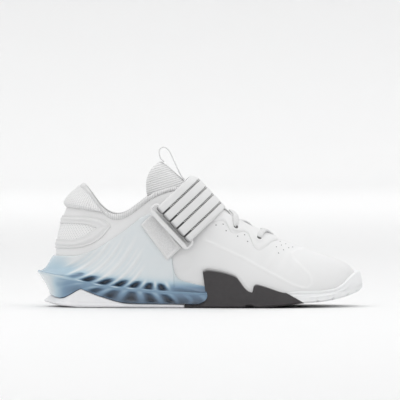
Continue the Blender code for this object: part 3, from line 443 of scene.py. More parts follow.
def tongue_row(k, crown):
    """One crossing: under the outer facing, over the throat's gap, under the inner facing."""
    clear = -(UPPER_WALL + TONGUE_CLEAR)
    halves = []
    for sign in (-1, 1):
        u = on_side(k, sign)
        halves.append([shell(u, 0.985 - 0.195 * t, clear) for t in spaced(0, 1, 5)])
    left, right = halves[0][::-1], halves[1]
    a, b = left[-1], right[0]
    bridge = []
    for t in (0.25, 0.5, 0.75):
        lift = np.array((0.4, 0.0, 0.92)) * crown * 4 * t * (1 - t)
        bridge.append(a + (b - a) * t + lift)
    return left + bridge + right


def free_row(table, count):
    """A crossing above the throat, from a table of its half."""
    sizes = np.array((LAST_LENGTH, BALL_HALF, COLLAR_HEIGHT))
    half = np.array(table) * sizes + np.array((HEEL_X, 0.0, 0.0))
    half = resample(half, (count + 1) // 2)
    return [p * (1, -1, 1) for p in half[::-1]] + list(half[1:])


def grid_normals(grid):
    """The unit normals of a grid of points, turned to point up along its middle."""
    along = np.gradient(grid, axis=0)
    across = np.gradient(grid, axis=1)
    n = np.cross(across, along)
    n /= np.linalg.norm(n, axis=2, keepdims=True)
    if n[:, n.shape[1] // 2, 2].mean() < 0:
        n = -n
    return n


def run_along(points):
    """How far along a line of points each of them lies."""
    return np.concatenate([[0], np.cumsum(np.linalg.norm(np.diff(points, axis=0), axis=1))])


def directions(points):
    """The unit direction of a line of points at each of them."""
    tangent = np.gradient(np.asarray(points, float), axis=0)
    return tangent / np.linalg.norm(tangent, axis=1, keepdims=True)


def resample_straight(points, count):
    """Points evenly spread on the straight runs between the given ones."""
    points = np.array(points)
    run = run_along(points)
    wanted = np.linspace(0, run[-1], count)
    return np.stack([np.interp(wanted, run, column) for column in points.T], axis=1)


def resample(points, count):
    """Points on a smooth curve through the given ones, evenly spread."""
    points = [np.array(p, float) for p in points]
    ends = [2 * points[0] - points[1], *points, 2 * points[-1] - points[-2]]
    fine = []
    for p0, p1, p2, p3 in zip(ends, ends[1:], ends[2:], ends[3:]):
        for t in np.linspace(0, 1, 12, endpoint=False):
            fine.append(0.5 * (
                2 * p1 + (p2 - p0) * t + (2 * p0 - 5 * p1 + 4 * p2 - p3) * t * t
                + (3 * p1 - p0 - 3 * p2 + p3) * t**3
            ))
    return resample_straight([*fine, points[-1]], count)


# Strap, ring and tab

def strap_place(width, across, rise):
    """A point in the strap's own frame: along its width, across the shoe, and up."""
    centre = np.array((HEEL_X + STRAP_X * LAST_LENGTH, 0.0, STRAP_Z * COLLAR_HEIGHT))
    c, s = math.cos(STRAP_ANGLE), math.sin(STRAP_ANGLE)
    return centre + np.array((c * width + s * rise, across, -s * width + c * rise))


def strap_measure(point):
    """The same three distances of a point."""
    centre = strap_place(0, 0, 0)
    c, s = math.cos(STRAP_ANGLE), math.sin(STRAP_ANGLE)
    x, y, z = point - centre
    return c * x - s * z, y, s * x + c * z


def quads(count, width, base=0, closed=False):
    """Faces of count rows of width points. closed joins each row's ends."""
    return [
        (base + i * width + j, base + i * width + (j + 1) % width,
         base + (i + 1) * width + (j + 1) % width, base + (i + 1) * width + j)
        for i in range(count - 1) for j in range(width if closed else width - 1)
    ]


@functools.lru_cache(maxsize=None)
def side_tree(offset):
    """A search tree of the surface at that offset, for finding the point behind a side place."""
    stations = spaced(1, TOE - 1, 96)
    levels = spaced(0, 1, 24)
    points, faces = [], []
    for side in (-1, 1):
        base = len(points)
        for k in stations:
            points += [Vector(shell(on_side(k, side), v, offset)) for v in levels]
        faces += quads(len(stations), len(levels), base)
    return BVHTree.FromPolygons(points, faces)


def side_point(x, z, side, offset):
    """The point of the surface at that offset behind (x, z), and its outward normal."""
    hit, n, _, _ = side_tree(offset).ray_cast(Vector((x, side * 0.2, z)), Vector((0, -side, 0)))
    n = n if n.y * side > 0 else -n
    return np.array(hit), np.array(n)


def bar_centre(rise):
    """Where a bar of the ring lies, beside the clip's wing, as (across, rise)."""
    places = [strap_place(STRAP_WIDTH * s, 0, rise) for s in (-0.5, 0.0, 0.5)]
    hits = [side_point(p[0], p[2], -1, 2 * GAP + CLIP_WALL)[0][1] for p in places]
    return np.array((min(hits) - RING_STANDOFF, rise))


def covered_points():
    """What the strap must pass over, as (across, rise)."""
    found = []
    for k in spaced(5.5, 11.5, 60):
        for u in (k, LOOP - k):
            for v in spaced(0.25, 1, 24):
                lift = 3 * GAP + (CLIP_WALL if v < 0.75 else EYESTAY_THICK)
                found.append(shell(u, v, lift))
    found += [p for row in tongue_grid() for p in row]
    measured = [strap_measure(point) for point in found]
    return [(a, r) for w, a, r in measured if abs(w) < STRAP_WIDTH / 2 + 0.001]


def turn(a, b, c):
    """Over 0 where the path from a by b to c turns left."""
    return (b[0] - a[0]) * (c[1] - a[1]) - (b[1] - a[1]) * (c[0] - a[0])


def taut_line(points):
    """The upper half of the points' convex hull, from one side of the shoe to the other."""
    hull = []
    for point in sorted(points):
        while len(hull) > 1 and turn(hull[-2], hull[-1], point) >= 0:
            hull.pop()
        hull.append(point)
    return hull


def strap_path():
    """The strap's inner line: round the ring's upper bar, over the instep, down the inner side."""
    bar = bar_centre(RING_RISE)
    radius = RING_BAR / 2 + 1.5 * GAP
    outside = (float(bar[0] - radius), float(bar[1]))
    hull = taut_line([*covered_points(), outside])
    over = [p for p in hull if p[0] >= outside[0] and p[1] > (STRAP_END if p[0] > 0 else bar[1])]
    even = resample_straight([outside, *over], 30)
    for _ in range(6):
        even[1:-1] = (even[:-2] + 2 * even[1:-1] + even[2:]) / 4
    tangent = directions(even)
    lift = np.minimum(0.0009, 0.0001 * np.arange(len(even)))[:, None]
    even = even + np.stack([-tangent[:, 1], tangent[:, 0]], axis=1) * lift
    hook = [
        bar + radius * np.array((math.cos(a), math.sin(a)))
        for a in np.linspace(math.radians(20), math.radians(-165), 9)
    ]
    return np.concatenate([hook, even])


# Meshes

def grid_piece(name, rows, finishes, closed=False, wrap=False, caps=(False, False), angle=40,
               paint=None, slots=None, flip=False, places=None):
    """A mesh from rows of points, with a UV map in millimetres along and across it.

    closed joins each row's ends, wrap joins the last row to the first. slots(i, j) gives a quad's
    material slot, paint is {name: one value for each point} for the materials to read, and
    places overrides the UV map with one (along, across) for each point of an open grid.
    """
    grid = np.asarray(rows, float)
    count, width = grid.shape[:2]
    long = np.concatenate([grid, grid[:1]]) if wrap else grid
    full = np.concatenate([long, long[:, :1]], axis=1) if closed else long
    steps = np.linalg.norm(np.diff(full, axis=0), axis=2)
    run = 1000 * np.concatenate([[0], np.cumsum(np.percentile(steps, 80, axis=1))])
    spans = np.linalg.norm(np.diff(full, axis=1), axis=2)
    rise = 1000 * np.concatenate([np.zeros((len(spans), 1)), np.cumsum(spans, axis=1)], axis=1)
    uvs = places or [[(along, across) for across in row] for along, row in zip(run, rise)]
    faces, corners, indices = [], [], []
    for i in range(full.shape[0] - 1):
        for j in range(full.shape[1] - 1):
            a, b = i % count * width, (i + 1) % count * width
            c, d = j % width, (j + 1) % width
            faces.append((a + c, a + d, b + d, b + c))
            corners += [uvs[i][j], uvs[i][j + 1], uvs[i + 1][j + 1], uvs[i + 1][j]]
            indices.append(slots(i, j) if slots else 0)
    for wanted, row in zip(caps, (0, count - 1)):
        if wanted:
            faces.append(tuple(row * width + j for j in range(width)))
            corners += [(float(1000 * p[0]), float(1000 * p[2])) for p in grid[row]]
            indices.append(0)
    mesh = bpy.data.meshes.new(name)
    mesh.from_pydata(grid.reshape(-1, 3).tolist(), [], faces)
    uv = mesh.uv_layers.new(name="UVMap")
    uv.data.foreach_set("uv", np.array(corners, np.float32).ravel())
    mesh.polygons.foreach_set("material_index", indices)
    for key, values in (paint or {}).items():
        layer = mesh.attributes.new(key, "FLOAT", "POINT")
        layer.data.foreach_set("value", np.asarray(values, np.float32).ravel())
    return dress(name, mesh, finishes, angle, flip=flip, solid=closed)


def dress(name, mesh, finishes, angle=40, flip=False, solid=True):
    """An object of this mesh, cleaned, facing out, smooth-shaded and riding on the shoe."""
    bm = bmesh.new()
    bm.from_mesh(mesh)
    bmesh.ops.remove_doubles(bm, verts=bm.verts, dist=2e-6)
    bmesh.ops.dissolve_degenerate(bm, edges=bm.edges, dist=1e-7)
    bmesh.ops.triangulate(bm, faces=[f for f in bm.faces if len(f.verts) > 4])
    if solid:
        bmesh.ops.recalc_face_normals(bm, faces=bm.faces)
        if bm.calc_volume(signed=True) < 0:
            bmesh.ops.reverse_faces(bm, faces=bm.faces)
    elif flip:
        bmesh.ops.reverse_faces(bm, faces=bm.faces)
    bm.to_mesh(mesh)
    bm.free()
    mesh.shade_smooth()
    mesh.set_sharp_from_angle(angle=math.radians(angle))
    for finish in finishes:
        mesh.materials.append(finish)
    obj = bpy.data.objects.new(name, mesh)
    bpy.context.scene.collection.objects.link(obj)
    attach(obj, "root")
    return obj


def joined(name, parts, finishes, angle=40):
    """One object from many (points, faces) parts."""
    points, faces = [], []
    for some_points, some_faces in parts:
        base = len(points)
        points += [tuple(float(x) for x in p) for p in some_points]
        faces += [tuple(base + n for n in face) for face in some_faces]
    mesh = bpy.data.meshes.new(name)
    mesh.from_pydata(points, [], faces)
    uv = mesh.uv_layers.new(name="UVMap")
    at = np.array([points[loop.vertex_index] for loop in mesh.loops])
    uv.data.foreach_set("uv", (at[:, [0, 2]] * 1000).astype(np.float32).ravel())
    return dress(name, mesh, finishes, angle)


def frames_along(points, up):
    """Side and up directions of a line of points."""
    tangent = directions(points)
    up = np.broadcast_to(np.asarray(up, float), tangent.shape)
    side = np.cross(tangent, up)
    side /= np.linalg.norm(side, axis=1, keepdims=True)
    return side, np.cross(side, tangent)


def tube_rows(points, up, half_width, half_thick, around=12, square=1.0, ends=0.0):
    """Rows of an oval tube along a line. square over 1 flattens it, ends closes it softly."""
    points = np.asarray(points, float)
    side, high = frames_along(points, up)
    rows = []
    last = len(points) - 1
    for i, point in enumerate(points):
        share = min(i, last - i) / last
        size = math.sqrt(min(1.0, (share + 0.0005) / ends)) if ends else 1.0
        row = []
        for k in range(around):
            a = 2 * math.pi * (k + 0.5) / around
            c, s = math.cos(a), math.sin(a)
            x = math.copysign(abs(c) ** (1 / square), c)
            y = math.copysign(abs(s) ** (1 / square), s)
            row.append(point + side[i] * x * half_width * size + high[i] * y * half_thick * size)
        rows.append(row)
    return rows


def tube_part(points, up, half_width, half_thick, around=8, square=1.0, ends=0.2):
    rows = tube_rows(points, up, half_width, half_thick, around, square, ends)
    count = len(rows)
    faces = quads(count, around, closed=True)
    faces += [tuple(range(around)), tuple((count - 1) * around + j for j in range(around))]
    return [p for row in rows for p in row], faces


def stitch_parts(line, up, length, gap, half):
    """Parts for a row of stitches laid along a line."""
    line = np.asarray(line, float)
    run = run_along(line)
    up = np.broadcast_to(np.asarray(up, float), line.shape)
    parts = []
    start = gap
    while start + length < run[-1]:
        at = np.linspace(start, start + length, 5)
        points = np.stack([np.interp(at, run, line[:, i]) for i in range(3)], axis=1)
        face = np.stack([np.interp(at, run, up[:, i]) for i in range(3)], axis=1)
        bow = half * 0.8 * np.sin(np.linspace(0, math.pi, 5))[:, None]
        parts.append(tube_part(points + face * bow, face, half, half, around=6, ends=0.3))
        start += length + gap
    return parts


def soft_step(x, low, high):
    """0 up to low, 1 from high, and a soft rise between."""
    t = min(max((x - low) / (high - low), 0.0), 1.0)
    return t * t * (3 - 2 * t)


def soft_hill(x, low, high, fall, end):
    """1 from high to fall, with a soft rise from low before and a soft fall to end after."""
    return soft_step(x, low, high) * (1 - soft_step(x, fall, end))


def bell(distance, width):
    """1 at no distance, falling off softly over the width."""
    return math.exp(-((distance / width) ** 2))


def line_distance(x, z, line):
    """The distance in the side view from (x, z) to a line of points."""
    best = 1.0
    for (ax, az), (bx, bz) in zip(line, line[1:]):
        dx, dz = bx - ax, bz - az
        t = ((x - ax) * dx + (z - az) * dz) / (dx * dx + dz * dz)
        t = min(max(t, 0.0), 1.0)
        best = min(best, math.hypot(x - ax - t * dx, z - az - t * dz))
    return best


def in_metres(table):
    """A table of millimetres in metres."""
    return [tuple(value / 1000 for value in row) for row in table]


# Materials

def node(tree, kind, settings=None, **inputs):
    """A node with its settings. An input is a number, a tuple, or an output to link."""
    made = tree.nodes.new("ShaderNode" + kind)
    for key, value in (settings or {}).items():
        setattr(made, key, value)
    for key, value in inputs.items():
        numbered = key[0] == "i" and key[1:].isdigit()
        socket = made.inputs[int(key[1:]) if numbered else key.replace("_", " ")]
        if isinstance(value, bpy.types.NodeSocket):
            tree.links.new(value, socket)
        else:
            socket.default_value = value
    return made


def calculate(tree, operation, a, b=0.0, clamp=False):
    """A Math node's output."""
    return node(tree, "Math", {"operation": operation, "use_clamp": clamp}, i0=a, i1=b).outputs[0]


def ramp(tree, value, stops):
    """A colour ramp. stops are (position, colour)."""
    made = node(tree, "ValToRGB", i0=value)
    elements = made.color_ramp.elements
    while len(elements) < len(stops):
        elements.new(0.5)
    for element, (position, colour) in zip(elements, stops):
        element.position = position
        element.color = (*colour, 1)
    return made.outputs[0]


def grey(value):
    return (value, value, value)


def object_noise(tree, scale, detail=3.0):
    """Noise from 0 to 1 that stays fixed to the piece."""
    place = node(tree, "TexCoord").outputs["Object"]
    return node(tree, "TexNoise", Vector=place, Scale=scale, Detail=detail).outputs["Fac"]


def uv_mm(tree):
    """The two UV distances, in millimetres."""
    parts = node(tree, "SeparateXYZ", i0=node(tree, "TexCoord").outputs["UV"])
    return parts.outputs[0], parts.outputs[1]


def wave(tree, distance, pitch, power=1.0):
    """0 to 1 and back over each pitch."""
    turned = calculate(tree, "MULTIPLY", distance, math.pi / pitch)
    up = calculate(tree, "ABSOLUTE", calculate(tree, "SINE", turned))
    return calculate(tree, "POWER", up, power) if power != 1.0 else up


def rib_knit(pitch_along, pitch_across, depth_across=0.35):
    """Ribs that run across the piece, one for each pitch along it, with stitches in each."""
    def height(tree):
        along, across = uv_mm(tree)
        rib = wave(tree, along, pitch_along, 0.7)
        stitch = wave(tree, across, pitch_across, 0.6)
        return calculate(tree, "ADD", rib, calculate(tree, "MULTIPLY", stitch, depth_across))
    return height


def slanted_knit(pitch, slant, fine):
    """Long ribs that rise to the front of the shoe, with a fine upright knit over them."""
    def height(tree):
        parts = node(tree, "SeparateXYZ", i0=node(tree, "TexCoord").outputs["Object"])
        drop = calculate(tree, "MULTIPLY", parts.outputs[0], slant)
        rise = calculate(tree, "SUBTRACT", parts.outputs[2], drop)
        rib = wave(tree, rise, pitch, 0.7)
        stitch = wave(tree, parts.outputs[0], fine, 0.8)
        return calculate(tree, "ADD", rib, calculate(tree, "MULTIPLY", stitch, 0.25))
    return height


def plain_weave(pitch):
    """Over and under threads."""
    def height(tree):
        along, across = uv_mm(tree)
        a = calculate(tree, "SINE", calculate(tree, "MULTIPLY", along, 2 * math.pi / pitch))
        b = calculate(tree, "SINE", calculate(tree, "MULTIPLY", across, 2 * math.pi / pitch))
        woven = calculate(tree, "MULTIPLY", a, b)
        return calculate(tree, "MULTIPLY_ADD", woven, 0.5)
    return height


def open_mesh(pitch):
    """Rows of small holes, each row set half a step along."""
    def height(tree):
        along, across = uv_mm(tree)
        waves = []
        for operation in ("ADD", "SUBTRACT"):
            diagonal = calculate(tree, operation, along, across)
            turned = calculate(tree, "MULTIPLY", diagonal, math.pi / pitch)
            waves.append(calculate(tree, "COSINE", turned))
        crossing = calculate(tree, "ABSOLUTE", calculate(tree, "MULTIPLY", *waves))
        return calculate(tree, "SUBTRACT", 1.0, calculate(tree, "POWER", crossing, 4.0))
    return height


def leather_grain(scale):
    """Small rounded cells with a finer roughness over them."""
    def height(tree):
        place = node(tree, "TexCoord").outputs["Object"]
        cells = node(tree, "TexVoronoi", {"feature": "SMOOTH_F1"}, Vector=place, Scale=scale)
        fine = node(tree, "TexNoise", Vector=place, Scale=scale * 2.2, Detail=2.0)
        return calculate(tree, "ADD", cells.outputs["Distance"],
                         calculate(tree, "MULTIPLY", fine.outputs["Fac"], 0.5))
    return height


def fine_speckle(scale):
    """The faint unevenness of a moulded face."""
    def height(tree):
        return object_noise(tree, scale, 4.0)
    return height


def surface(name, light, dark, rough, height=None, depth=0.0002, strength=0.5, shade=0.0,
            shade_to=0.55, cloud=18.0, **sockets):
    """A procedural material: clouded colour, uneven roughness, and relief from a height function.

    shade darkens the low parts of the relief with painted shade. sockets are constants of the
    shader itself.
    """
    made = bpy.data.materials.new(name)
    made.use_nodes = True
    tree = made.node_tree
    shader = tree.nodes["Principled BSDF"]
    for key, value in sockets.items():
        shader.inputs[key.replace("_", " ")].default_value = value
    clouds = object_noise(tree, cloud)
    colour = ramp(tree, clouds, ((0.35, dark), (0.65, light)))
    uneven = object_noise(tree, cloud * 14, 2.0)
    rough_low, rough_high = rough
    spread = node(tree, "MapRange", i0=uneven, i1=0.3, i2=0.7, i3=rough_low, i4=rough_high)
    tree.links.new(spread.outputs[0], shader.inputs["Roughness"])
    if height:
        relief = height(tree)
        bump = node(tree, "Bump", Height=relief, Strength=strength, Distance=depth)
        tree.links.new(bump.outputs[0], shader.inputs["Normal"])
        # Painted shade: the low parts of the relief are darkened
        if shade:
            relief_shade = ramp(tree, relief, ((0.0, grey(1 - shade)), (shade_to, grey(1.0))))
            colour = node(tree, "Mix", {"data_type": "RGBA", "blend_type": "MULTIPLY"},
                          i0=1.0, i6=colour, i7=relief_shade).outputs[2]
    tree.links.new(colour, shader.inputs["Base Color"])
    return made


# Where things show on the photographed side, as (x, z) in millimetres

SIDE_RIDGE = in_metres((
    (3.9, 63.5), (22.0, 54.8), (40.7, 45.8), (64.4, 32.6), (84.6, 21.9), (94.4, 18.3),
))
TOE_LINE_SEEN = in_metres((
    (101.0, 56.0), (89.2, 52.8), (85.0, 50.4), (86.8, 45.6), (94.4, 37.5), (100.9, 31.0),
    (103.2, 25.8), (102.8, 21.6), (99.2, 18.2), (94.4, 18.3),
))
WAIST_LINE = in_metres(((-7.0, 45.0), (-7.3, 41.0), (-8.6, 36.0), (-12.4, 33.0), (-20.3, 33.9)))
EYELET_HOLES = in_metres((
    (14.8, 76.2), (21.4, 77.0), (24.2, 71.0), (34.9, 65.9), (41.4, 67.1), (44.1, 61.1),
))
VAMP_HOLES = in_metres((
    (72.8, 50.3), (77.5, 53.1), (82.3, 54.8), (70.9, 55.8), (75.6, 57.4), (79.7, 58.4),
    (74.4, 60.6), (86.0, 55.4),
))
# How far below and above a crease's ends it fades in or out
CREASE_FADE = 0.004
CREASE_REACH = 0.006
# Creases over the ball of the foot: from (x, z) low to (x, z) high, with depth and width
FLEX_CREASES = (
    ((0.066, 0.034), (0.079, 0.058), 0.00020, 0.0044),
    ((0.076, 0.030), (0.088, 0.054), 0.00014, 0.0040),
    ((0.052, 0.038), (0.066, 0.056), 0.00010, 0.0048),
)


# Upper

FINE_STEP = 14
FINE_LEVELS = 66
LINING_LEVELS = 18
RIDGE_HEIGHT = 0.0005


def upper_relief(u, v):
    """How far the leather stands out from or below the plain surface at (u, v)."""
    x, _, z = section(u, v)
    if not -0.03 < x < 0.125:
        return 0.0
    rise = RIDGE_HEIGHT * bell(line_distance(x, z, SIDE_RIDGE), 0.00085)
    rise += 0.00034 * bell(line_distance(x, z, TOE_LINE_SEEN), 0.0011)
    rise -= 0.00030 * bell(line_distance(x, z, WAIST_LINE), 0.0010)
    for low, high, depth, width in FLEX_CREASES:
        along = soft_hill(z, low[1] - CREASE_FADE, low[1] + CREASE_REACH,
                          high[1] - CREASE_FADE, high[1] + CREASE_REACH)
        if along:
            away = line_distance(x, z, (low, high))
            rise -= depth * along * (bell(away, width) - 0.5 * bell(away - 1.3 * width, width))
    return rise


def dress_upper(leather, lining):
    """The leather shell, with its raised lines and soft creases, and the lining inside it; the
    raised lines carry a painted highlight.
    """
    levels = spaced(0, 1, FINE_LEVELS)
    inner_levels = spaced(1, 0, LINING_LEVELS)
    stations = spaced(0, TOE, TOE * FINE_STEP)
    around = stations + [LOOP - k for k in stations[-2:0:-1]]
    rows, lines = [], []
    for u in around:
        relief = [upper_relief(u, v) for v in levels]
        row = [shell(u, v, rise) for v, rise in zip(levels, relief)]
        row += [shell(u, v, -UPPER_WALL) for v in inner_levels]
        row[-1][2] = row[0][2]
        rows.append(row)
        # How far each point stands out, which the leather reads as a painted highlight on its
        # raised lines
        lines.append([max(0.0, rise) / RIDGE_HEIGHT for rise in relief]
                     + [0.0] * len(inner_levels))
    top = len(levels) - 1
    obj = grid_piece(
        "leather_upper", rows, [leather, lining], closed=True, wrap=True, angle=50,
        slots=lambda i, j: int(top < j < len(rows[0]) - 1), paint={"line": lines},
    )
    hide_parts("upper")


# A punched hole's profile: share of its radius, and metres above the leather
HOLE_RADIUS = 0.00072
HOLE_SHAPE = ((1.7, -0.00008), (1.35, 0.00012), (1.0, 0.00010), (0.8, 0.00004))
HOLE_SIDES = 10


def dimple_parts(point, out, radius=HOLE_RADIUS):
    """One punched hole: a soft rim and a dark cup of painted shadow, as parts for two materials."""
    out = np.asarray(out) / np.linalg.norm(out)
    side = np.cross(out, (0.3, 0.1, 0.95))
    side /= np.linalg.norm(side)
    up = np.cross(out, side)
    angles = [2 * math.pi * i / HOLE_SIDES for i in range(HOLE_SIDES)]
    points = [
        point + out * height + radius * size * (side * math.cos(a) + up * math.sin(a))
        for size, height in HOLE_SHAPE for a in angles
    ]
    faces = quads(len(HOLE_SHAPE), HOLE_SIDES, closed=True)
    faces.append(tuple(range(len(points) - HOLE_SIDES, len(points))))
    return points, faces


def find_place(x, z, side):
    """(u, v) of the upper behind the place (x, z) of the side view."""
    line = level_line(z)

    def behind(k):
        u = on_side(k, side)
        return section(u, rise_to(u, line))[0] < x

    u = on_side(halve(6.0, 15.5, 22, behind), side)
    return u, rise_to(u, line)


def hole_places():
    """(u, v) of every punched hole: beside the eyelets on both sides, and over the vamp."""
    return [find_place(x, z, side) for x, z in EYELET_HOLES + VAMP_HOLES for side in (-1, 1)]


def darken_cups(obj):
    """Gives the second material, the painted shadow, to the holes' bottoms, which are the only
    triangles.
    """
    for polygon in obj.data.polygons:
        polygon.material_index = int(len(polygon.vertices) == 3)


def dress_holes(rim, dark):
    """The punched holes in the leather."""
    parts = [
        dimple_parts(shell(u, v, upper_relief(u, v)), normal(u, v)) for u, v in hole_places()
    ]
    obj = joined("punched_holes", parts, [rim, dark])
    darken_cups(obj)


# The heel tab's reach in stations to each side, and its top as a share of the section
TAB_END = 3.6
TAB_TOP = 0.965


def dress_heel_tab(knit):
    """The padded tab: thickest along its middle, rolled in along its lower edge."""
    outer, inner = [], []
    for u in spaced(-TAB_END, TAB_END, 168):
        low = rise_to(u % LOOP, tab_low)
        taper = 1 - (u / TAB_END) ** 2
        out_row, in_row = [], []
        for t in spaced(0, 1, 40):
            v = low + (TAB_TOP - low) * t
            puff = math.sqrt(soft_step(t, -0.008, 0.13)) * (1 - 0.62 * soft_step(t, 0.25, 1.0))
            lift = 2 * GAP + TAB_PUFF * (0.14 + 0.96 * taper) * puff
            out_row.append(shell(u % LOOP, v, lift))
            in_row.append(shell(u % LOOP, v, GAP))
        outer.append(out_row)
        inner.append(in_row[::-4])
    obj = grid_piece("knit_heel_tab", [o + i for o, i in zip(outer, inner)], [knit],
                     closed=True, caps=(True, True), angle=70)
    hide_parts("heel_tab")


# Share of the way from the counter ring's outer line to its window, and share of its thickness
COUNTER_SHAPE = (
    (0.000, 0.02), (0.015, 0.45), (0.050, 0.64), (0.10, 0.62), (0.15, 0.38), (0.22, 0.28),
    (0.28, 0.42), (0.36, 0.88), (0.45, 1.02), (0.54, 0.96), (0.62, 0.68), (0.72, 0.46),
    (0.82, 0.44), (0.90, 0.58), (0.95, 0.62), (0.985, 0.40), (1.000, 0.04),
)
# The ring's outer line and its window: station number against a share of COLLAR_HEIGHT
RING_TOP = ((0.0, 0.748), (1.9, 0.748), (2.7, 0.736), (3.2, 0.718), (3.5, 0.694), (3.66, 0.668))
RING_LOW = ((0.0, 0.478), (1.9, 0.484), (2.7, 0.520), (3.2, 0.580), (3.5, 0.635), (3.66, 0.660))
MESH_TOP = ((0.0, 0.680), (1.5, 0.686), (2.1, 0.678), (2.5, 0.664), (2.74, 0.650))
MESH_LOW = ((0.0, 0.556), (1.5, 0.553), (2.1, 0.576), (2.5, 0.618), (2.74, 0.646))
# How far the mesh runs under its ring
MESH_TUCK = 0.0006


def counter_pairs(steps):
    """Places (u, height) of the ring's outer line and window line, all the way round."""
    def half(outer_table, window_table, side):
        pairs = []
        for t in spaced(0, 1, steps):
            pair = []
            for table in (outer_table, window_table):
                k = t * table[-1][0]
                pair.append((-side * k, COLLAR_HEIGHT * smooth(table, k)))
            pairs.append(pair)
        return pairs

    tops = [half(RING_TOP, MESH_TOP, side) for side in (-1, 1)]
    relief_shade = [half(RING_LOW, MESH_LOW, side) for side in (-1, 1)]
    return tops[0][::-1] + tops[1][1:] + relief_shade[1][::-1] + relief_shade[0][1:]


def on_upper(turned, height, offset):
    """A point of the upper at that height, turned stations from the heel to the outer side."""
    u = turned % LOOP
    return shell(u, rise_to(u, level_line(height)), offset)


def dress_counter(moulded, mesh_cloth):
    """The moulded ring at the heel and the open mesh in its window."""
    rows = []
    for (outer_u, outer_z), (window_u, window_z) in counter_pairs(70):
        row = []
        for t, height in COUNTER_SHAPE:
            u = outer_u + (window_u - outer_u) * t
            z = outer_z + (window_z - outer_z) * t
            row.append(on_upper(u, z, 1.2 * GAP + 0.72 * COUNTER_THICK * height))
        row += [on_upper(window_u, window_z, 0.5 * GAP), on_upper(outer_u, outer_z, 0.5 * GAP)]
        rows.append(row)
    ring = grid_piece("counter_ring", rows, [moulded], closed=True, wrap=True, angle=60)
    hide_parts("heel_counter")

    end = MESH_TOP[-1][0]
    cloth, heights, middles = [], [], []
    for u in spaced(-end, end, 72):
        top = COLLAR_HEIGHT * smooth(MESH_TOP, abs(u)) + MESH_TUCK
        low = COLLAR_HEIGHT * smooth(MESH_LOW, abs(u)) - MESH_TUCK
        heights.append(spaced(low, top, 24))
        middles.append(on_upper(u, (top + low) / 2, 0.0))
        cloth.append([on_upper(u, height, SKIN) for height in heights[-1]])
    places = [
        [(1000 * float(run), 1000 * height) for height in column]
        for run, column in zip(run_along(middles), heights)
    ]
    window = grid_piece("heel_mesh", cloth, [mesh_cloth], flip=True, places=places)


# The collar band's profile from the top edge: millimetres outward and upward
BAND_SHAPE = (
    (0.10, -3.3), (0.75, -3.2), (1.35, -2.2), (1.60, -0.8), (1.45, 0.6), (0.80, 1.7),
    (-0.30, 2.3), (-1.25, 2.4), (-2.30, 2.2), (-3.20, 1.5), (-3.75, 0.3), (-3.80, -1.2),
    (-3.40, -2.5), (-2.70, -3.0), (-2.56, 0.12), (0.06, 0.12),
)
# How many of those points the ribs move, the middle they move about, and the ribs' pitch
BAND_SOFT = 14
BAND_MIDDLE = -1.25
BAND_RIB = 0.0021
# How far the band reaches to each side of the heel, in stations
BAND_END = 7.6


def dress_binding(knit):
    """The knitted band that wraps the collar's edge, with its cross ribs."""
    stations = spaced(-BAND_END, BAND_END, 900)
    edges = [section(u % LOOP, 1.0) for u in stations]
    rows = []
    for u, edge, run in zip(stations, edges, run_along(edges)):
        close = soft_step(BAND_END - abs(u), -0.02, 0.35)
        u %= LOOP
        out = normal(u, 1.0)
        up = edge - section(u, 0.97)
        up /= np.linalg.norm(up)
        rib = 1 - 0.10 * (0.5 + 0.5 * math.cos(2 * math.pi * run / BAND_RIB))
        soft = rib * (0.35 + 0.65 * close)
        row = []
        for number, (away, high) in enumerate(BAND_SHAPE):
            size = soft if number < BAND_SOFT else 1.0
            reach = BAND_MIDDLE + (away - BAND_MIDDLE) * size
            row.append(edge + (out * reach + up * high * size) / 1000)
        rows.append(row)
    obj = grid_piece("knit_collar_band", rows, [knit], closed=True, caps=(True, True), angle=80)
    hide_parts("collar_binding")


# The facing's points from its wavy lower line to its top edge
FACING_SHARES = (
    0.0, 0.015, 0.035, 0.07, 0.12, 0.2, 0.3, 0.4, 0.5, 0.6, 0.7, 0.8, 0.88, 0.94, 0.98, 1.0,
)
FACING_TOP = 0.996


def dress_eyestay(side, leather):
    """One facing: a thin raised layer with a soft rolled edge along its wavy line."""
    rows = []
    for k in spaced(8.0, 11.78, 150):
        u = on_side(k, side)
        low = rise_to(u, eyestay_low)
        ends = soft_hill(k, 7.98, 8.1, 11.66, 11.8)
        row = []
        for t in FACING_SHARES:
            edge = math.sqrt(soft_hill(t, -0.01, 0.13, 0.93, 1.02))
            thick = 0.00004 + (GAP + EYESTAY_THICK) * edge * ends
            row.append(shell(u, low + (FACING_TOP - low) * t, thick))
        row += [shell(u, FACING_TOP, -0.0001), shell(u, (low + FACING_TOP) / 2, -0.0002),
                shell(u, low, -0.0001)]
        rows.append(row)
    name = "lateral" if side < 0 else "medial"
    obj = grid_piece(f"facing_{name}", rows, [leather], closed=True, caps=(True, True), angle=60)
    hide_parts(f"eyestay_{name}")


# Sole

TREAD_DEPTH = 0.0009
# Each rubber's chevron grooves: their spacing, how far they lean to the toe, and their width
HEEL_TREAD = (0.0085, -0.5, 0.0030)
MID_TREAD = (0.0078, 0.55, 0.0028)
TOE_TREAD = (0.0082, 0.5, 0.0028)


def tread_cut(x, y, pitch, lean, width):
    """How deep the chevron grooves are cut here: 0 on a land."""
    at = (x + lean * abs(y)) / pitch
    away = abs(at - round(at)) * pitch
    return TREAD_DEPTH * (1 - soft_step(away, width * 0.35, width * 0.65))


def sole_rows(profile, stations, tread, across=26):
    """Closed polygons across the sole: its two sides and a treaded floor between them."""
    rows = []
    for k in stations:
        lateral, medial = profile(k), profile(LOOP - k)
        a, b = medial[0], lateral[0]
        floor = []
        for t in spaced(0, 1, across + 1)[1:-1]:
            point = a + (b - a) * t
            edge = soft_step(min(t, 1 - t), 0.07, 0.12)
            point[2] = ground(point[0]) + tread(point[0], point[1]) * edge
            floor.append(point)
        rows.append(lateral + medial[::-1] + floor)
    return rows


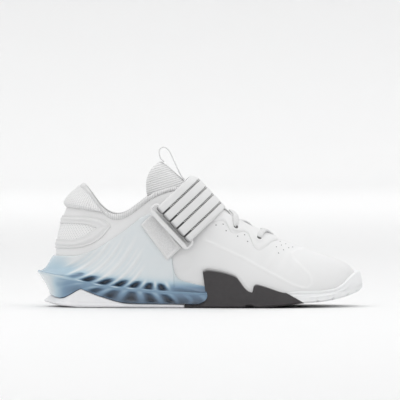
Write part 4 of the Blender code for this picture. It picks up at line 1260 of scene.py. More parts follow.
# The line between the tray and the clear heel on the photographed side, in millimetres
PEAK_SEEN = in_metres((
    (-150.0, 14.0), (-141.6, 11.6), (-135.5, 8.7), (-130.4, 7.9), (-126.0, 8.8), (-121.0, 11.4),
    (-115.5, 14.7), (-111.2, 16.9), (-109.6, 16.9), (-104.0, 14.5), (-94.7, 10.9), (-84.5, 7.7),
    (-77.0, 5.4), (-72.0, 4.2), (-66.0, 3.6), (-55.0, 3.3), (-10.0, 3.0), (20.0, 3.0),
))


# The tray's least height above the ground, and how far in from its rim the clear heel sits
TRAY_LEAST = 0.0024
SEAT_INSET = 0.0012


def seat_line(x):
    """The height of that line at x."""
    return float(np.interp(x, [p[0] for p in PEAK_SEEN], [p[1] for p in PEAK_SEEN]))


def dress_heel_tray(rubber):
    """The white tray under the heel, with a soft line low on its side."""
    joint = station_at(HEEL_JOINT)

    def profile(u):
        lip = HEEL_LIP * smooth(((0.0, 1.0), (0.08, 0.0)), share_of(foot(u)[0]))
        outer = plan(u, HEEL_RIM_OUT + lip, 0.0)
        floor = ground(outer[0])
        top = max(seat_line(plan(u, HEEL_RIM_OUT, 0.0)[0]), floor + TRAY_LEAST)
        inner_z = ground(plan(u, HEEL_RIM_OUT - RIM_WIDTH, 0)[0]) + PLATE
        points = [
            plan(u, HEEL_RIM_OUT - 0.0016 + lip * 0.6, floor),
            plan(u, HEEL_RIM_OUT + 0.0002 + lip * 0.9, floor + 0.0006),
        ]
        for t in spaced(0, 1, 16):
            z = floor + 0.0018 + (top - floor - TRAY_LEAST) * t
            out = HEEL_RIM_OUT + 0.0010 + lip - (0.0014 + lip) * t
            out -= 0.00030 * bell(z - floor - 0.0042, 0.0005)
            points.append(plan(u, out, z))
        points += [
            plan(u, HEEL_RIM_OUT - 0.0007, top - 0.0002),
            plan(u, HEEL_RIM_OUT - SEAT_INSET, top),
            plan(u, HEEL_RIM_OUT - RIM_WIDTH, top),
            plan(u, HEEL_RIM_OUT - RIM_WIDTH - 0.0001, min(inner_z, top)),
        ]
        return points

    stations = sorted({*spaced(0, 2, 80), *spaced(2, joint, 190)})
    rows = sole_rows(profile, stations, lambda x, y: tread_cut(x, y, *HEEL_TREAD))
    obj = grid_piece("heel_tray", rows, [rubber], closed=True, caps=(False, True), angle=45)
    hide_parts("outsole_heel")


def inner_side(u, top_v):
    """The side of a cup or wing that lies against the upper, from its top down."""
    return [shell(u, min(v, top_v), SKIN) for v in spaced(1, 0, 8)]


# How far up the cup's wall its middle points lie, and which points its grooves cut
CUP_SHARES = (0.12, 0.2, 0.28, 0.36, 0.44, 0.52, 0.60, 0.68, 0.76, 0.83, 0.89, 0.94)
CUP_GROOVED = range(3, 17)
GROOVE_WIDTH = 0.0007


def fine_cup(u, top_line, rim_out, wall, swell, lines=(), notch=0.0):
    """A side of the cup sole in fine steps. lines are the heights of grooves along it."""
    outer = plan(u, rim_out, 0.0)
    floor = ground(outer[0])
    top_v = rise_to(u, top_line)
    low = foot(u)
    points = [
        plan(u, rim_out - 0.0022, floor + notch),
        plan(u, rim_out - 0.0008, floor + 0.0004 + notch),
        plan(u, rim_out + 0.0004, floor + 0.0020 + notch * 0.6),
        plan(u, rim_out + 0.7 * swell, floor + 0.0036 + notch * 0.2),
        plan(u, rim_out + swell, floor + 0.0055),
    ]
    for t in CUP_SHARES:
        reach = GAP + wall + (rim_out - wall) * 0.55 * (1 - t) ** 1.5
        points.append(shell(u, top_v * t, reach))
    points += [
        shell(u, top_v * 0.975, GAP + wall * 0.92),
        shell(u, top_v * 0.993, GAP + wall * 0.72),
        shell(u, top_v, GAP + wall * 0.45),
    ]
    out = np.array((*station(u)[5:7], 0.0))
    for number in CUP_GROOVED:
        for height, depth in lines:
            cut = depth * bell(points[number][2] - height, GROOVE_WIDTH)
            points[number] = points[number] - cut * out
    points += inner_side(u, top_v)
    points.append(plan(u, GAP, low[2] - 0.0001))
    points.append(plan(u, GAP - 0.00005, ground(low[0]) + PLATE))
    return points


# The flex groove across the ball: how much of it is cut at each x
FLEX_NOTCH = ((0.0405, 0.0), (0.0425, 1.0), (0.0475, 1.0), (0.0510, 0.0))

# How far the joint between the dark rubber and the clear heel moves forward, against its height
JOINT_SHIFT = in_metres((
    (0.0, -8.5), (3.0, -8.5), (4.4, -5.0), (6.5, -1.2), (9.0, 0.6), (11.2, 1.1), (18.0, 0.0),
    (27.0, -1.4), (34.0, -2.8), (38.0, -2.8),
))


def shift_joint(points, share):
    """Moves points near the joint along the shoe, by that share of the shift."""
    if share <= 0:
        return points
    heights = [z for z, _ in JOINT_SHIFT]
    moved = [dx for _, dx in JOINT_SHIFT]
    return [
        p + np.array((share * float(np.interp(p[2], heights, moved)), 0.0, 0.0)) for p in points
    ]


# The points of the dark rubber's top edge, and how much painted highlight each gets
RIM_HIGHLIGHTS = ((16, 0.55), (17, 1.0), (18, 1.0), (19, 1.0))


def dress_mid_sole(rubber):
    """The dark rubber with its wings."""
    start = station_at(HEEL_JOINT) + 0.03
    wing_start = station_at(CLIP_FRONT) + 0.06
    end = station_at(SCARF_LOW) + 0.6
    before_wings = 12

    def profile(u):
        k = min(u, LOOP - u)
        if k >= wing_start:
            notch = 0.0024 * smooth(FLEX_NOTCH, foot(u)[0])
            cup = fine_cup(u, wing_top, DARK_RIM_OUT, WING_WALL, 0.0, notch=notch)
            return shift_joint(cup, 1 - soft_step(k, wing_start, wing_start + 1.2))
        floor = ground(foot(u)[0])
        points = [
            plan(u, HEEL_RIM_OUT - 0.0024, floor), plan(u, HEEL_RIM_OUT - 0.0010, floor + 0.0004),
            plan(u, HEEL_RIM_OUT, floor + 0.0018),
        ]
        count = len(fine_cup(wing_start, wing_top, DARK_RIM_OUT, WING_WALL, 0.0)) - len(points)
        return points + [
            plan(u, HEEL_RIM_OUT - 0.0010 - 0.0001 * i, floor + PLATE) for i in range(count)
        ]

    stations = sorted({
        *spaced(start, wing_start - 0.02, before_wings),
        *spaced(wing_start, wing_start + 2.4, 96),
        *spaced(wing_start + 2.4, end, 40),
    })

    def tread(x, y):
        flex = 0.0020 * smooth(FLEX_NOTCH, x)
        return max(flex, tread_cut(x, y, *MID_TREAD))

    rows = sole_rows(profile, stations, tread)
    side = len(profile(wing_start + 1.0))
    # Painted highlight along the top edge of the wings
    light = np.zeros((len(rows), len(rows[0])))
    for number, value in RIM_HIGHLIGHTS:
        light[:, [number, 2 * side - 1 - number]] = value
    light[:before_wings + 1] = 0.0
    obj = grid_piece("dark_sole", rows, [rubber], closed=True, caps=(True, True), angle=45,
                     paint={"rim": light})
    point, direction = scarf_plane(0.0)
    cut_piece(obj, point, direction)
    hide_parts("outsole_mid")


def cut_piece(obj, point, direction):
    """Cuts away what lies ahead of a plane, and closes the cut."""
    bm = bmesh.new()
    bm.from_mesh(obj.data)
    bmesh.ops.bisect_plane(
        bm, geom=[*bm.verts, *bm.edges, *bm.faces], dist=1e-7,
        plane_co=Vector(point), plane_no=Vector(direction), clear_outer=True,
    )
    bmesh.ops.holes_fill(bm, edges=[e for e in bm.edges if e.is_boundary])
    bmesh.ops.triangulate(bm, faces=[f for f in bm.faces if len(f.verts) > 4])
    bmesh.ops.recalc_face_normals(bm, faces=bm.faces)
    bm.to_mesh(obj.data)
    bm.free()
    obj.data.set_sharp_from_angle(angle=math.radians(45))


# Grooves along the toe rubber: share of the last's length, and height in millimetres
TOE_GROOVES = (
    ((0.74, 12.4), (0.86, 12.6), (0.92, 14.6), (0.955, 18.6), (0.98, 25.0), (1.03, 29.0)),
    ((0.74, 8.6), (0.84, 8.8), (0.90, 10.2), (0.945, 13.4), (0.98, 19.0), (1.03, 23.5)),
)
TOE_GROOVE_DEPTH = 0.00085
# Where the gaps between the toe's lugs lie, as x
LUG_BREAKS = (0.1085, 0.1230, 0.1370, 0.1452)


def dress_toe_sole(rubber):
    """The white toe rubber: grooved band, lugs and the bumper's raised edge."""
    start = station_at(SCARF_HIGH) - 0.6

    def lug(x):
        return max(bell(x - centre, 0.0013) for centre in LUG_BREAKS)

    def profile(u):
        share = smooth(((0.8, 0.0), (1.0, 1.0)), share_of(foot(u)[0]))
        rim = DARK_RIM_OUT + (TOE_RIM_OUT - DARK_RIM_OUT) * share
        x = plan(u, rim, 0.0)[0]
        depth = TOE_GROOVE_DEPTH * (1 - 0.85 * soft_step(share_of(x), 0.93, 0.99))
        lines = [(smooth(table, share_of(x)) / 1000, depth) for table in TOE_GROOVES]
        wall = TOE_WALL * (1 + 0.8 * share**3)
        return fine_cup(u, toe_top, rim, wall, 0.0008 * share, lines, notch=0.0016 * lug(x))

    def tread(x, y):
        flat = 1 - soft_step(x, 0.118, 0.134)
        return max(0.0014 * lug(x), flat * tread_cut(x, y, *TOE_TREAD))

    rows = sole_rows(profile, spaced(start, TOE, 150), tread)
    obj = grid_piece("toe_sole", rows, [rubber], closed=True, caps=(True, False), angle=45)
    point, direction = scarf_plane(GAP * 2)
    cut_piece(obj, point, -direction)
    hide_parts("outsole_toe")


def dress_midsole(foam):
    """The foam bed, seen in the gaps between the sole's pieces."""
    clip_end = station_at(CLIP_FRONT)

    def profile(u):
        k = min(u, LOOP - u)
        top = foot(u)
        under = deck(top[0]) if k <= clip_end + 0.04 else ground(top[0]) + PLATE
        low, high = under + GAP, top[2] - GAP
        return [plan(u, -0.0002 + 0.0001 * t, low + (high - low) * t) for t in spaced(0, 1, 8)]

    rows = []
    stations = sorted({*spaced(0, TOE, 136), clip_end + 0.04, clip_end + 0.06})
    for k in stations:
        lateral, medial = profile(k), profile(LOOP - k)
        rows.append(lateral + medial[::-1])
    obj = grid_piece("foam_midsole", rows, [foam], closed=True)
    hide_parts("midsole")


def dress_insole(cloth):
    """The sockliner, a little dished, with its cloth top."""
    inset = UPPER_WALL + 2 * GAP
    rows = []
    for k in spaced(0, TOE, 136):
        left = plan(k, -inset, 0.0)
        right = plan(LOOP - k, -inset, 0.0)
        z = bed(left[0]) + GAP
        row = [np.array((left[0], left[1], z)), np.array((left[0], left[1], z + INSOLE_THICK))]
        for t in spaced(0, 1, 20)[1:-1]:
            point = left + (right - left) * t
            dish = 0.0011 * math.sin(math.pi * t) ** 1.2
            row.append(np.array((point[0], point[1], z + INSOLE_THICK - dish)))
        row += [
            np.array((right[0], right[1], z + INSOLE_THICK)), np.array((right[0], right[1], z)),
        ]
        rows.append(row)
    obj = grid_piece("sockliner", rows, [cloth], closed=True, angle=50)
    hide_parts("insole")


# Clear heel

# Ribs fan out from the crest: where each starts, and how far it leans forward for each rise
FAN_ABOVE = (
    (-0.145, 2.4), (-0.1235, 2.2), (-0.1099, 1.96), (-0.0941, 1.88), (-0.0786, 1.54),
    (-0.0645, 1.28), (-0.0489, 0.51), (-0.0339, -0.53), (-0.010, -1.0), (0.020, -1.0),
)
FAN_BELOW = (
    (-0.145, 3.2), (-0.105, 2.9), (-0.0862, 2.3), (-0.0736, 1.45), (-0.0617, 0.28),
    (-0.0508, -0.79), (-0.0370, -1.27), (-0.010, -1.6), (0.020, -1.6),
)
# The x of each pocket along the crest, above it and below it
POCKETS_ABOVE = (-0.1235, -0.1099, -0.0941, -0.0786, -0.0645, -0.0489, -0.0339)
POCKETS_BELOW = (-0.0862, -0.0736, -0.0617, -0.0508, -0.0370)


def fan_place(x, above):
    """Where on the crest the rib through this place starts. above is under 0 below the crest."""
    table = FAN_ABOVE if above > 0 else FAN_BELOW
    reach = above / (1 + abs(above) / 0.040)
    ends = np.maximum.accumulate([start + lean * reach for start, lean in table])
    return float(np.interp(x, ends, [start for start, _ in table]))


def pocket_at(place, centres, sharp=0.8):
    """1 in the middle of a pocket and 0 on a rib, and -1 to 1 from rib to pocket."""
    phase = float(np.interp(place, centres, range(len(centres))))
    if place < centres[0]:
        phase = (place - centres[0]) / (centres[1] - centres[0])
    if place > centres[-1]:
        phase = len(centres) - 1 + (place - centres[-1]) / (centres[-1] - centres[-2])
    turned = math.cos(2 * math.pi * phase)
    inside = -0.5 < phase < len(centres) - 0.5
    return ((0.5 + 0.5 * turned) ** sharp if inside else 0.0), turned


# How far a rib of the wing stands out, and how deep the pockets above and below the crest are
RIB_STANDS = 0.00042
POCKET_ABOVE_DEPTH = 0.0032
POCKET_BELOW_DEPTH = 0.0026
# How much darker a pocket is painted than what surrounds it, above and below the crest: painted
# shade
POCKET_ABOVE_SHADE = 0.52
POCKET_BELOW_SHADE = 0.28
# How high above the crest its dark reaches
CREST_DARK = 0.0088

# Places up the wing, closer together near the crest
WING_SHARES = (*spaced(0.012, 0.24, 20), *spaced(0.255, 0.97, 38))


def ribs_at(x, above):
    """How far the wing stands out at a place above the crest, and how dark it is painted, with
    painted shade in its pockets and painted highlights on its ribs.
    """
    pocket, turned = pocket_at(fan_place(x, above + 1e-6), POCKETS_ABOVE, 1.15)
    # How much of the pockets and ribs is left here: they fade up the wing and at both its ends
    here = soft_hill(x, -0.130, -0.116, -0.030, -0.020)
    here *= 1 - soft_step(above, 0.006, 0.011) * soft_step(x, -0.062, -0.048)
    pocket *= here * soft_hill(above, 0.0004, 0.0024, 0.0048, 0.0088)
    pocket *= 0.30 + 0.70 * soft_step(x, -0.116, -0.106)
    ridge = max(-turned, 0.0) ** 3
    rib = ridge * here * soft_hill(above, 0.002, 0.006, 0.026, 0.056)
    # The colour: dark by the crest, pale up the wing and at the tail, with a painted highlight
    # along the ribs
    near = math.exp(-((above / CREST_DARK) ** 2.4))
    rear = 1 - soft_step(x, -0.128, -0.100)
    base = (0.47 * near + 0.01) * (1 - rear) + 0.03
    base += rear * (0.17 + 0.10 * near) * (1 - 0.7 * soft_step(above, 0.010, 0.024))
    base += 0.05 * math.exp(-above / 0.022)
    stripe = 0.05 * turned * here * (1 - soft_step(above, 0.016, 0.046))
    fine = max(turned, 0.0) ** 5 * here * soft_hill(above, 0.0085, 0.012, 0.026, 0.050)
    light = 0.14 * rib + 0.10 * ridge * near * here + 0.09 * fine
    light -= 0.16 * near * soft_step(x, -0.036, -0.016)
    # Painted shade darkens the pockets
    shade = base + stripe - light + POCKET_ABOVE_SHADE * pocket
    return RIB_STANDS * rib - POCKET_ABOVE_DEPTH * pocket, min(max(shade, 0.0), 1.0)


# How round the crest's edge is, and where on it the painted highlight lies: degrees up, and how
# bright
CREST_ROLL = 0.0009
CREST_GLINTS = ((-60, 0.0), (-20, 0.0), (20, 0.40), (60, 0.18))


def clip_wall(u, seat, tail):
    """The wall from the tray up to the crest: its points, and how dark each is painted: darker
    lower down and toward the front, with painted shade in the pockets and painted highlights on the
    ribs between them.
    """
    x = foot(u)[0]
    height, out = crest(x), crest_out(x)
    forward = soft_step(x, -0.100, -0.070)
    points, shades = [], []
    for t in spaced(0.03, 0.94, 18):
        z = seat + t * (height - 0.0008 - seat)
        reach = HEEL_RIM_OUT + (out - HEEL_RIM_OUT) * (0.02 + 0.93 * t**1.5)
        here = plan(u, reach, z)[0]
        below = height - z
        pocket, turned = pocket_at(fan_place(here, -below), POCKETS_BELOW, 1.3)
        pocket *= soft_hill(below, 0.0015, 0.0045, 0.0085, 0.0135)
        pocket *= soft_step(z - seat, 0.0002, 0.0030)
        points.append(plan(u, reach - POCKET_BELOW_DEPTH * pocket, z))
        base = 0.50 + 0.24 * soft_step(below, 0.001, 0.012) + 0.12 * forward * (1 - t)
        base += 0.12 * soft_step(here, -0.036, -0.016)
        at_back = 0.07 + 0.42 * soft_step(here, -0.143, -0.122)
        at_back += 0.10 * bell(here + 0.1325, 0.0035) * bell(below - 0.0075, 0.0035)
        # Painted highlight on the ribs between the pockets below the crest, and painted shade in
        # the pockets
        rib_highlight = 0.13 * max(-turned, 0.0) * soft_step(below, 0.0005, 0.003)
        shade = (base - rib_highlight) * (1 - tail) + tail * at_back
        shades.append(shade + POCKET_BELOW_SHADE * pocket)
    return points, shades


def clip_crest(u, tail):
    """The crest's rolled edge, with a painted glint between the pockets of the rear half."""
    x = foot(u)[0]
    glint = pocket_at(x, POCKETS_ABOVE, 2.0)[0] * (1 - soft_step(x, -0.060, -0.045))
    points, shades = [], []
    for degrees, light in CREST_GLINTS:
        a = math.radians(degrees)
        out = crest_out(x) - CREST_ROLL + CREST_ROLL * math.cos(a)
        points.append(plan(u, out, crest(x) + CREST_ROLL * math.sin(a)))
        # Painted highlight: the glint makes these points paler
        shades.append((0.50 - light * glint) * (1 - tail) + 0.16 * tail)
    return points, shades


def clip_wing(u, top_v):
    """The wing from the crest up, and its thin top edge."""
    low = foot(u)
    share = share_of(low[0])
    height, out = crest(low[0]), crest_out(low[0])
    top = section(u, top_v)[2]
    start = min(height + 0.0015, low[2] + 0.0001 + 0.2 * (top - low[2]))
    start_v = rise_to(u, level_line(start))
    foot_reach = GAP + CLIP_WALL + (out - CLIP_WALL) * clip_flare(share, 0.0)
    seen_start = max(float(section(u, start_v)[2]), height + 0.0012)
    points, shades = [], []
    for t in spaced(0.05, 0.96, 12):
        z = height + CREST_ROLL + (seen_start - height - CREST_ROLL) * t
        reach = (out - 0.0005) * (1 - t) + foot_reach * t
        cut, shade = ribs_at(plan(u, reach, z)[0], z - height)
        points.append(plan(u, reach + cut, z))
        shades.append(shade)
    for t in WING_SHARES:
        v = start_v + (top_v - start_v) * t
        thick = GAP + CLIP_WALL + (out - CLIP_WALL) * clip_flare(share, t)
        place = shell(u, v, thick)
        cut, shade = ribs_at(place[0], max(place[2] - height, 0.0))
        points.append(shell(u, v, max(thick + cut, GAP + CLIP_WALL * 0.8)))
        shades.append(shade)
    points.append(shell(u, top_v - 0.004, 1.5 * GAP + CLIP_WALL * 0.92))
    points.append(shell(u, top_v, 1.5 * GAP + CLIP_WALL * 0.6))
    # The top edge's two points take the palest tone: a painted highlight along the thin edge
    return points, shades + [0.0, 0.0]


def clip_profile(u, front):
    """One side of the clear heel at u, and how dark each of its points is painted: its blue tint,
    with painted shade and painted highlights.
    """
    low = foot(u)
    rim = plan(u, HEEL_RIM_OUT, 0.0)
    seat = max(seat_line(rim[0]), ground(rim[0]) + TRAY_LEAST) + GAP
    inner_z = ground(plan(u, HEEL_RIM_OUT - RIM_WIDTH, 0)[0]) + PLATE + 2 * GAP
    tail = 1 - soft_step(low[0], -0.132, -0.104)
    top_v = rise_to(u, clip_top)
    points = [
        plan(u, HEEL_RIM_OUT - RIM_WIDTH - 2 * GAP - 0.0001, min(inner_z, seat)),
        plan(u, HEEL_RIM_OUT - RIM_WIDTH - 2 * GAP, seat),
        plan(u, HEEL_RIM_OUT - SEAT_INSET, seat),
    ]
    shades = [0.8] * len(points)
    for more, deep in (clip_wall(u, seat, tail), clip_crest(u, tail), clip_wing(u, top_v)):
        points += more
        shades += deep
    points += inner_side(u, top_v)
    points.append(plan(u, 1.5 * GAP, low[2] - 0.0001))
    points.append(plan(u, 1.5 * GAP - 0.00005, deck(low[0])))
    shades += [0.3] * (len(points) - len(shades))
    nearness = soft_step(min(u, LOOP - u), front - 1.8, front)
    return shift_joint(points, nearness), shades


def dress_clip(clear):
    """The clear moulded heel: pockets, ribs that fan up the wing, crest and tail."""
    front = station_at(CLIP_FRONT)
    stations = sorted({
        *spaced(0, 2, 60), *spaced(2, front - 0.5, 250), *spaced(front - 0.5, front, 24),
    })
    rows, tint_and_shade = [], []
    for k in stations:
        lateral, medial = clip_profile(k, front), clip_profile(LOOP - k, front)
        rows.append(lateral[0] + medial[0][::-1])
        tint_and_shade.append(lateral[1] + medial[1][::-1])
    # The painted values: the blue tint, with painted shade and painted highlights
    obj = grid_piece("clear_heel", rows, [clear], closed=True, caps=(False, True), angle=60,
                     paint={"depth": tint_and_shade})
    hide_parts("heel_clip")


# Tongue and loop

KNIT_PITCH = 0.0021
KNIT_SLANT = 0.30


def dense_grid(grid, rows, columns):
    """The same curved grid with more points."""
    along = np.stack([resample(grid[:, j], rows) for j in range(grid.shape[1])], axis=1)
    return np.stack([resample(along[i], columns) for i in range(rows)], axis=0)


# How far the tongue's ribs stand out, and how much of its thickness its thin edges keep
KNIT_STANDS = 0.00022
TONGUE_EDGE = 0.30


def dress_tongue(knit):
    """The padded knit tongue, with the ribs of its knit."""
    outer = dense_grid(tongue_grid(), 190, 60)
    n = grid_normals(outer)
    count, width = outer.shape[:2]
    rows = []
    for i in range(count):
        top = min(1.0, math.sqrt(max(0.0, (count - 1 - i) / 9)))
        foot_end = min(1.0, math.sqrt(i / 12))
        out_row, in_row = [], []
        for j in range(width):
            edge = math.sqrt(min(1.0, min(j, width - 1 - j) / 5))
            thick = TONGUE_THICK * (TONGUE_EDGE + (1 - TONGUE_EDGE) * min(top, foot_end, edge))
            point = outer[i, j]
            rise = point[2] - KNIT_SLANT * point[0]
            rib = 2 * abs(math.sin(math.pi * rise / KNIT_PITCH)) ** 0.7 - 1
            side = soft_step(abs(point[1]), 0.003, 0.012) * soft_step(point[2], 0.098, 0.106)
            roll = (1 - min(top, edge)) * TONGUE_THICK * 0.35
            out_row.append(point - n[i, j] * roll + n[i, j] * KNIT_STANDS * rib * side)
            in_row.append(point - n[i, j] * (thick + roll * 0.2))
        rows.append(out_row + in_row[::-1][::2])
    obj = grid_piece("knit_tongue", rows, [knit], closed=True, caps=(True, True), angle=80)
    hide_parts("tongue")


# The loop's line, with its rear end carried down to where it is sewn
SEWN_LOOP = (*LOOP_SHAPE[:-1], (0.055, 0.008), (-0.03, -0.004), (-0.12, -0.008))
# Half of the tape's outline, as shares of its half width and half thickness
TAPE_FACE = ((-1, -0.4), (-0.95, -1), (-0.5, -1), (0, -1), (0.5, -1), (0.95, -1), (1, -0.4))
TAPE_SHAPE = (*TAPE_FACE, *((-s, -t) for s, t in TAPE_FACE))


def dress_loop(tape):
    """The pull loop, a flat tape folded on itself."""
    grid = tongue_grid()
    middle = grid.shape[1] // 2
    top = grid[-1, middle]
    up = top - grid[-8, middle]
    up /= np.linalg.norm(up)
    side = np.array((0.0, 1.0, 0.0))
    out = np.cross(side, up)
    out = out if out[2] > 0 else -out
    lift = GAP + LOOP_THICK / 2
    path = [
        top + LOOP_REACH * along * up + (LOOP_REACH * off + lift) * out
        for along, off in SEWN_LOOP
    ]
    points = resample(path, 120)
    rows = []
    for number, (point, tangent) in enumerate(zip(points, directions(points))):
        high = np.cross(tangent, side)
        half_w = LOOP_WIDTH / 2 * (1 + 0.012 * math.sin(number * 1.9))
        half_t = LOOP_THICK / 2
        rows.append([point + side * s * half_w + high * t * half_t for s, t in TAPE_SHAPE])
    obj = grid_piece("pull_loop", rows, [tape], closed=True, caps=(True, True), angle=50)
    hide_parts("tongue_loop")


# Strap, ring and tab

# The strap's four dark channels, in metres across its width, and their half width
CHANNELS = (-0.01385, -0.00435, 0.00475, 0.01495)
CHANNEL_HALF = 0.00096
CHANNEL_DEPTH = 0.00055
CHANNEL_STEPS = (-1.6, -1.2, -0.8, -0.5, 0.0, 0.5, 0.8, 1.2, 1.6)
# How much each panel between them swells
PANEL_SWELL = 0.00055
# Where each channel ends in a dark dot near the strap's bend, seen from the outer side
CHANNEL_DOTS = in_metres(((-2.5, 117.2), (4.5, 110.3), (11.4, 103.9), (18.1, 96.6)))
DOT_RADIUS = 0.00118
# The stitches across each channel: their spacing, half length and half width
STITCH_PITCH = 0.00186
STITCH_HALF = 0.000713
STITCH_WIDE = 0.00036
STITCH_THICK = 0.00022


def strap_relief(width):
    """The strap's face between its channels: each panel swells a little."""
    edges = (-STRAP_WIDTH / 2, *CHANNELS, STRAP_WIDTH / 2)
    for low, high in zip(edges, edges[1:]):
        if low <= width <= high:
            t = (width - low) / (high - low)
            return PANEL_SWELL * math.sqrt(max(0.0, 4 * t * (1 - t)))
    return 0.0


def strap_columns():
    """Places across the strap, closer together at the channels and edges."""
    half = STRAP_WIDTH / 2
    places = {-half, -half + 0.0003, -half + 0.0009, half - 0.0009, half - 0.0003, half}
    places |= set(spaced(-half + 0.0018, half - 0.0018, 34))
    for channel in CHANNELS:
        places = {p for p in places if abs(p - channel) > 0.0018}
        places |= {channel + CHANNEL_HALF * s for s in CHANNEL_STEPS}
    return sorted(places)


def strap_lines(count):
    """The strap's inner line and its outward direction, in fine steps."""
    path = strap_path()
    fine = resample(np.column_stack([path, np.zeros(len(path))]), count)[:, :2]
    tangent = directions(fine)
    return fine, np.stack([-tangent[:, 1], tangent[:, 0]], axis=1)


def strap_point(line, out, width, offset):
    """A point of the strap at a place across its width, that far outside its inner line."""
    drop = STRAP_REAR_DROP * soft_step(-width / STRAP_WIDTH, 0.30, 0.52) * max(0.0, out[1]) ** 2
    across, rise = line + out * offset
    return strap_place(width, across, rise - drop)


def channel_dots(line, out):
    """The middle of each channel's dark dot, on the outer side of the strap's face."""
    def off_place(point):
        return min(math.hypot(point[0] - x, point[2] - z) for x, z in CHANNEL_DOTS)

    dots = []
    for channel in CHANNELS:
        face = [strap_point(*at, channel, STRAP_THICK) for at in zip(line, out)]
        dots.append(min((point for point in face if point[1] < 0), key=off_place))
    return dots


def strap_stitches(line, out, thread):
    """The short pale stitches that cross each channel."""
    run = run_along(line)
    parts = []
    for channel in CHANNELS:
        for at in np.arange(0.0125, run[-1] - 0.004, STITCH_PITCH):
            ends = []
            for s in (-1, 0, 1):
                here, facing = (
                    np.array([np.interp(at + 0.0006 * s, run, column) for column in table.T])
                    for table in (line, out)
                )
                face = STRAP_THICK + 0.00002 - 0.0001 * abs(s)
                ends.append(strap_point(here, facing, channel + STITCH_HALF * s, face))
            up = ends[1] - strap_point(here, facing, channel, 0.0)
            parts.append(tube_part(resample(ends, 5), up / np.linalg.norm(up), STITCH_WIDE,
                                   STITCH_THICK, around=6, ends=0.4))
    stitches = joined("strap_stitches", parts, [thread], angle=80)


def dress_strap(webbing, thread):
    """The strap with its four dark channels, and the stitches across each."""
    columns = strap_columns()
    line, out = strap_lines(190)
    dots = channel_dots(line, out)
    half = STRAP_WIDTH / 2
    rows, marks = [], []
    for at, facing, run in zip(line, out, run_along(line)):
        # Painted shadow on the fold round the ring's bar, where the strap goes into the slot
        fold_shadow = 0.85 * (1 - soft_step(run, 0.0042, 0.0054))
        row, mark = [], []
        for width in columns:
            edge = math.sqrt(soft_step(half - abs(width), -0.0001, 0.0011))
            away = min(abs(width - channel) for channel in CHANNELS)
            face = STRAP_THICK * (0.30 + 0.70 * edge) + strap_relief(width)
            face -= CHANNEL_DEPTH * bell(away, CHANNEL_HALF * 0.9)
            row.append(strap_point(at, facing, width, face))
            near = min(float(np.linalg.norm(row[-1] - dot)) for dot in dots)
            mark.append(max(1 - soft_step(away, CHANNEL_HALF * 0.6, CHANNEL_HALF * 1.25), fold_shadow,
                            1 - soft_step(near, DOT_RADIUS, DOT_RADIUS * 1.5)))
        row += [strap_point(at, facing, width, 0.0) for width in (half, 0.0, -half)]
        rows.append(row)
        marks.append(mark + [0.0] * 3)
    obj = grid_piece("wide_strap", rows, [webbing], closed=True, caps=(True, True), angle=70,
                     paint={"channel": marks})
    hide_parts("strap")
    strap_stitches(line, out, thread)


# How much deeper the ring's lower bar is than its upper one
LOW_BAR_EXTRA = 0.0021


def dress_ring(moulded):
    """The moulded ring, rounded all the way."""
    upper, lower = bar_centre(RING_RISE), bar_centre(RING_RISE - RING_SPAN)
    corner = RING_SPAN * 0.36
    half_l, half_w = RING_LENGTH / 2 - corner, np.linalg.norm(upper - lower) / 2 - corner
    short = (upper - lower) / np.linalg.norm(upper - lower)
    face = np.array((-short[1], short[0]))
    middle = (upper + lower) / 2
    rows = []
    for cx, cy, start in ((1, 1, 0), (-1, 1, 90), (-1, -1, 180), (1, -1, 270)):
        for step in range(10):
            a = math.radians(start + 10 * step)
            row = []
            for i in range(16):
                b = 2 * math.pi * (i + 0.5) / 16
                c, s = math.cos(b), math.sin(b)
                c, s = math.copysign(abs(c) ** 0.75, c), math.copysign(abs(s) ** 0.75, s)
                extra = LOW_BAR_EXTRA * max(0.0, -math.sin(a)) ** 2 if c < 0 else 0.0
                reach = corner + c * RING_BAR / 2 - extra
                width = half_l * cx + reach * math.cos(a)
                flat = middle + short * (half_w * cy + reach * math.sin(a))
                flat = flat + face * s * RING_BAR / 2
                row.append(strap_place(width, *flat))
            rows.append(row)
    obj = grid_piece("moulded_ring", rows, [moulded], closed=True, wrap=True, angle=80)
    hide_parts("strap_ring")


# How far the tab's panel is sunk, and how far in from its edge the border is sewn
PANEL_SUNK = 0.00055
BORDER_INSET = 0.0016


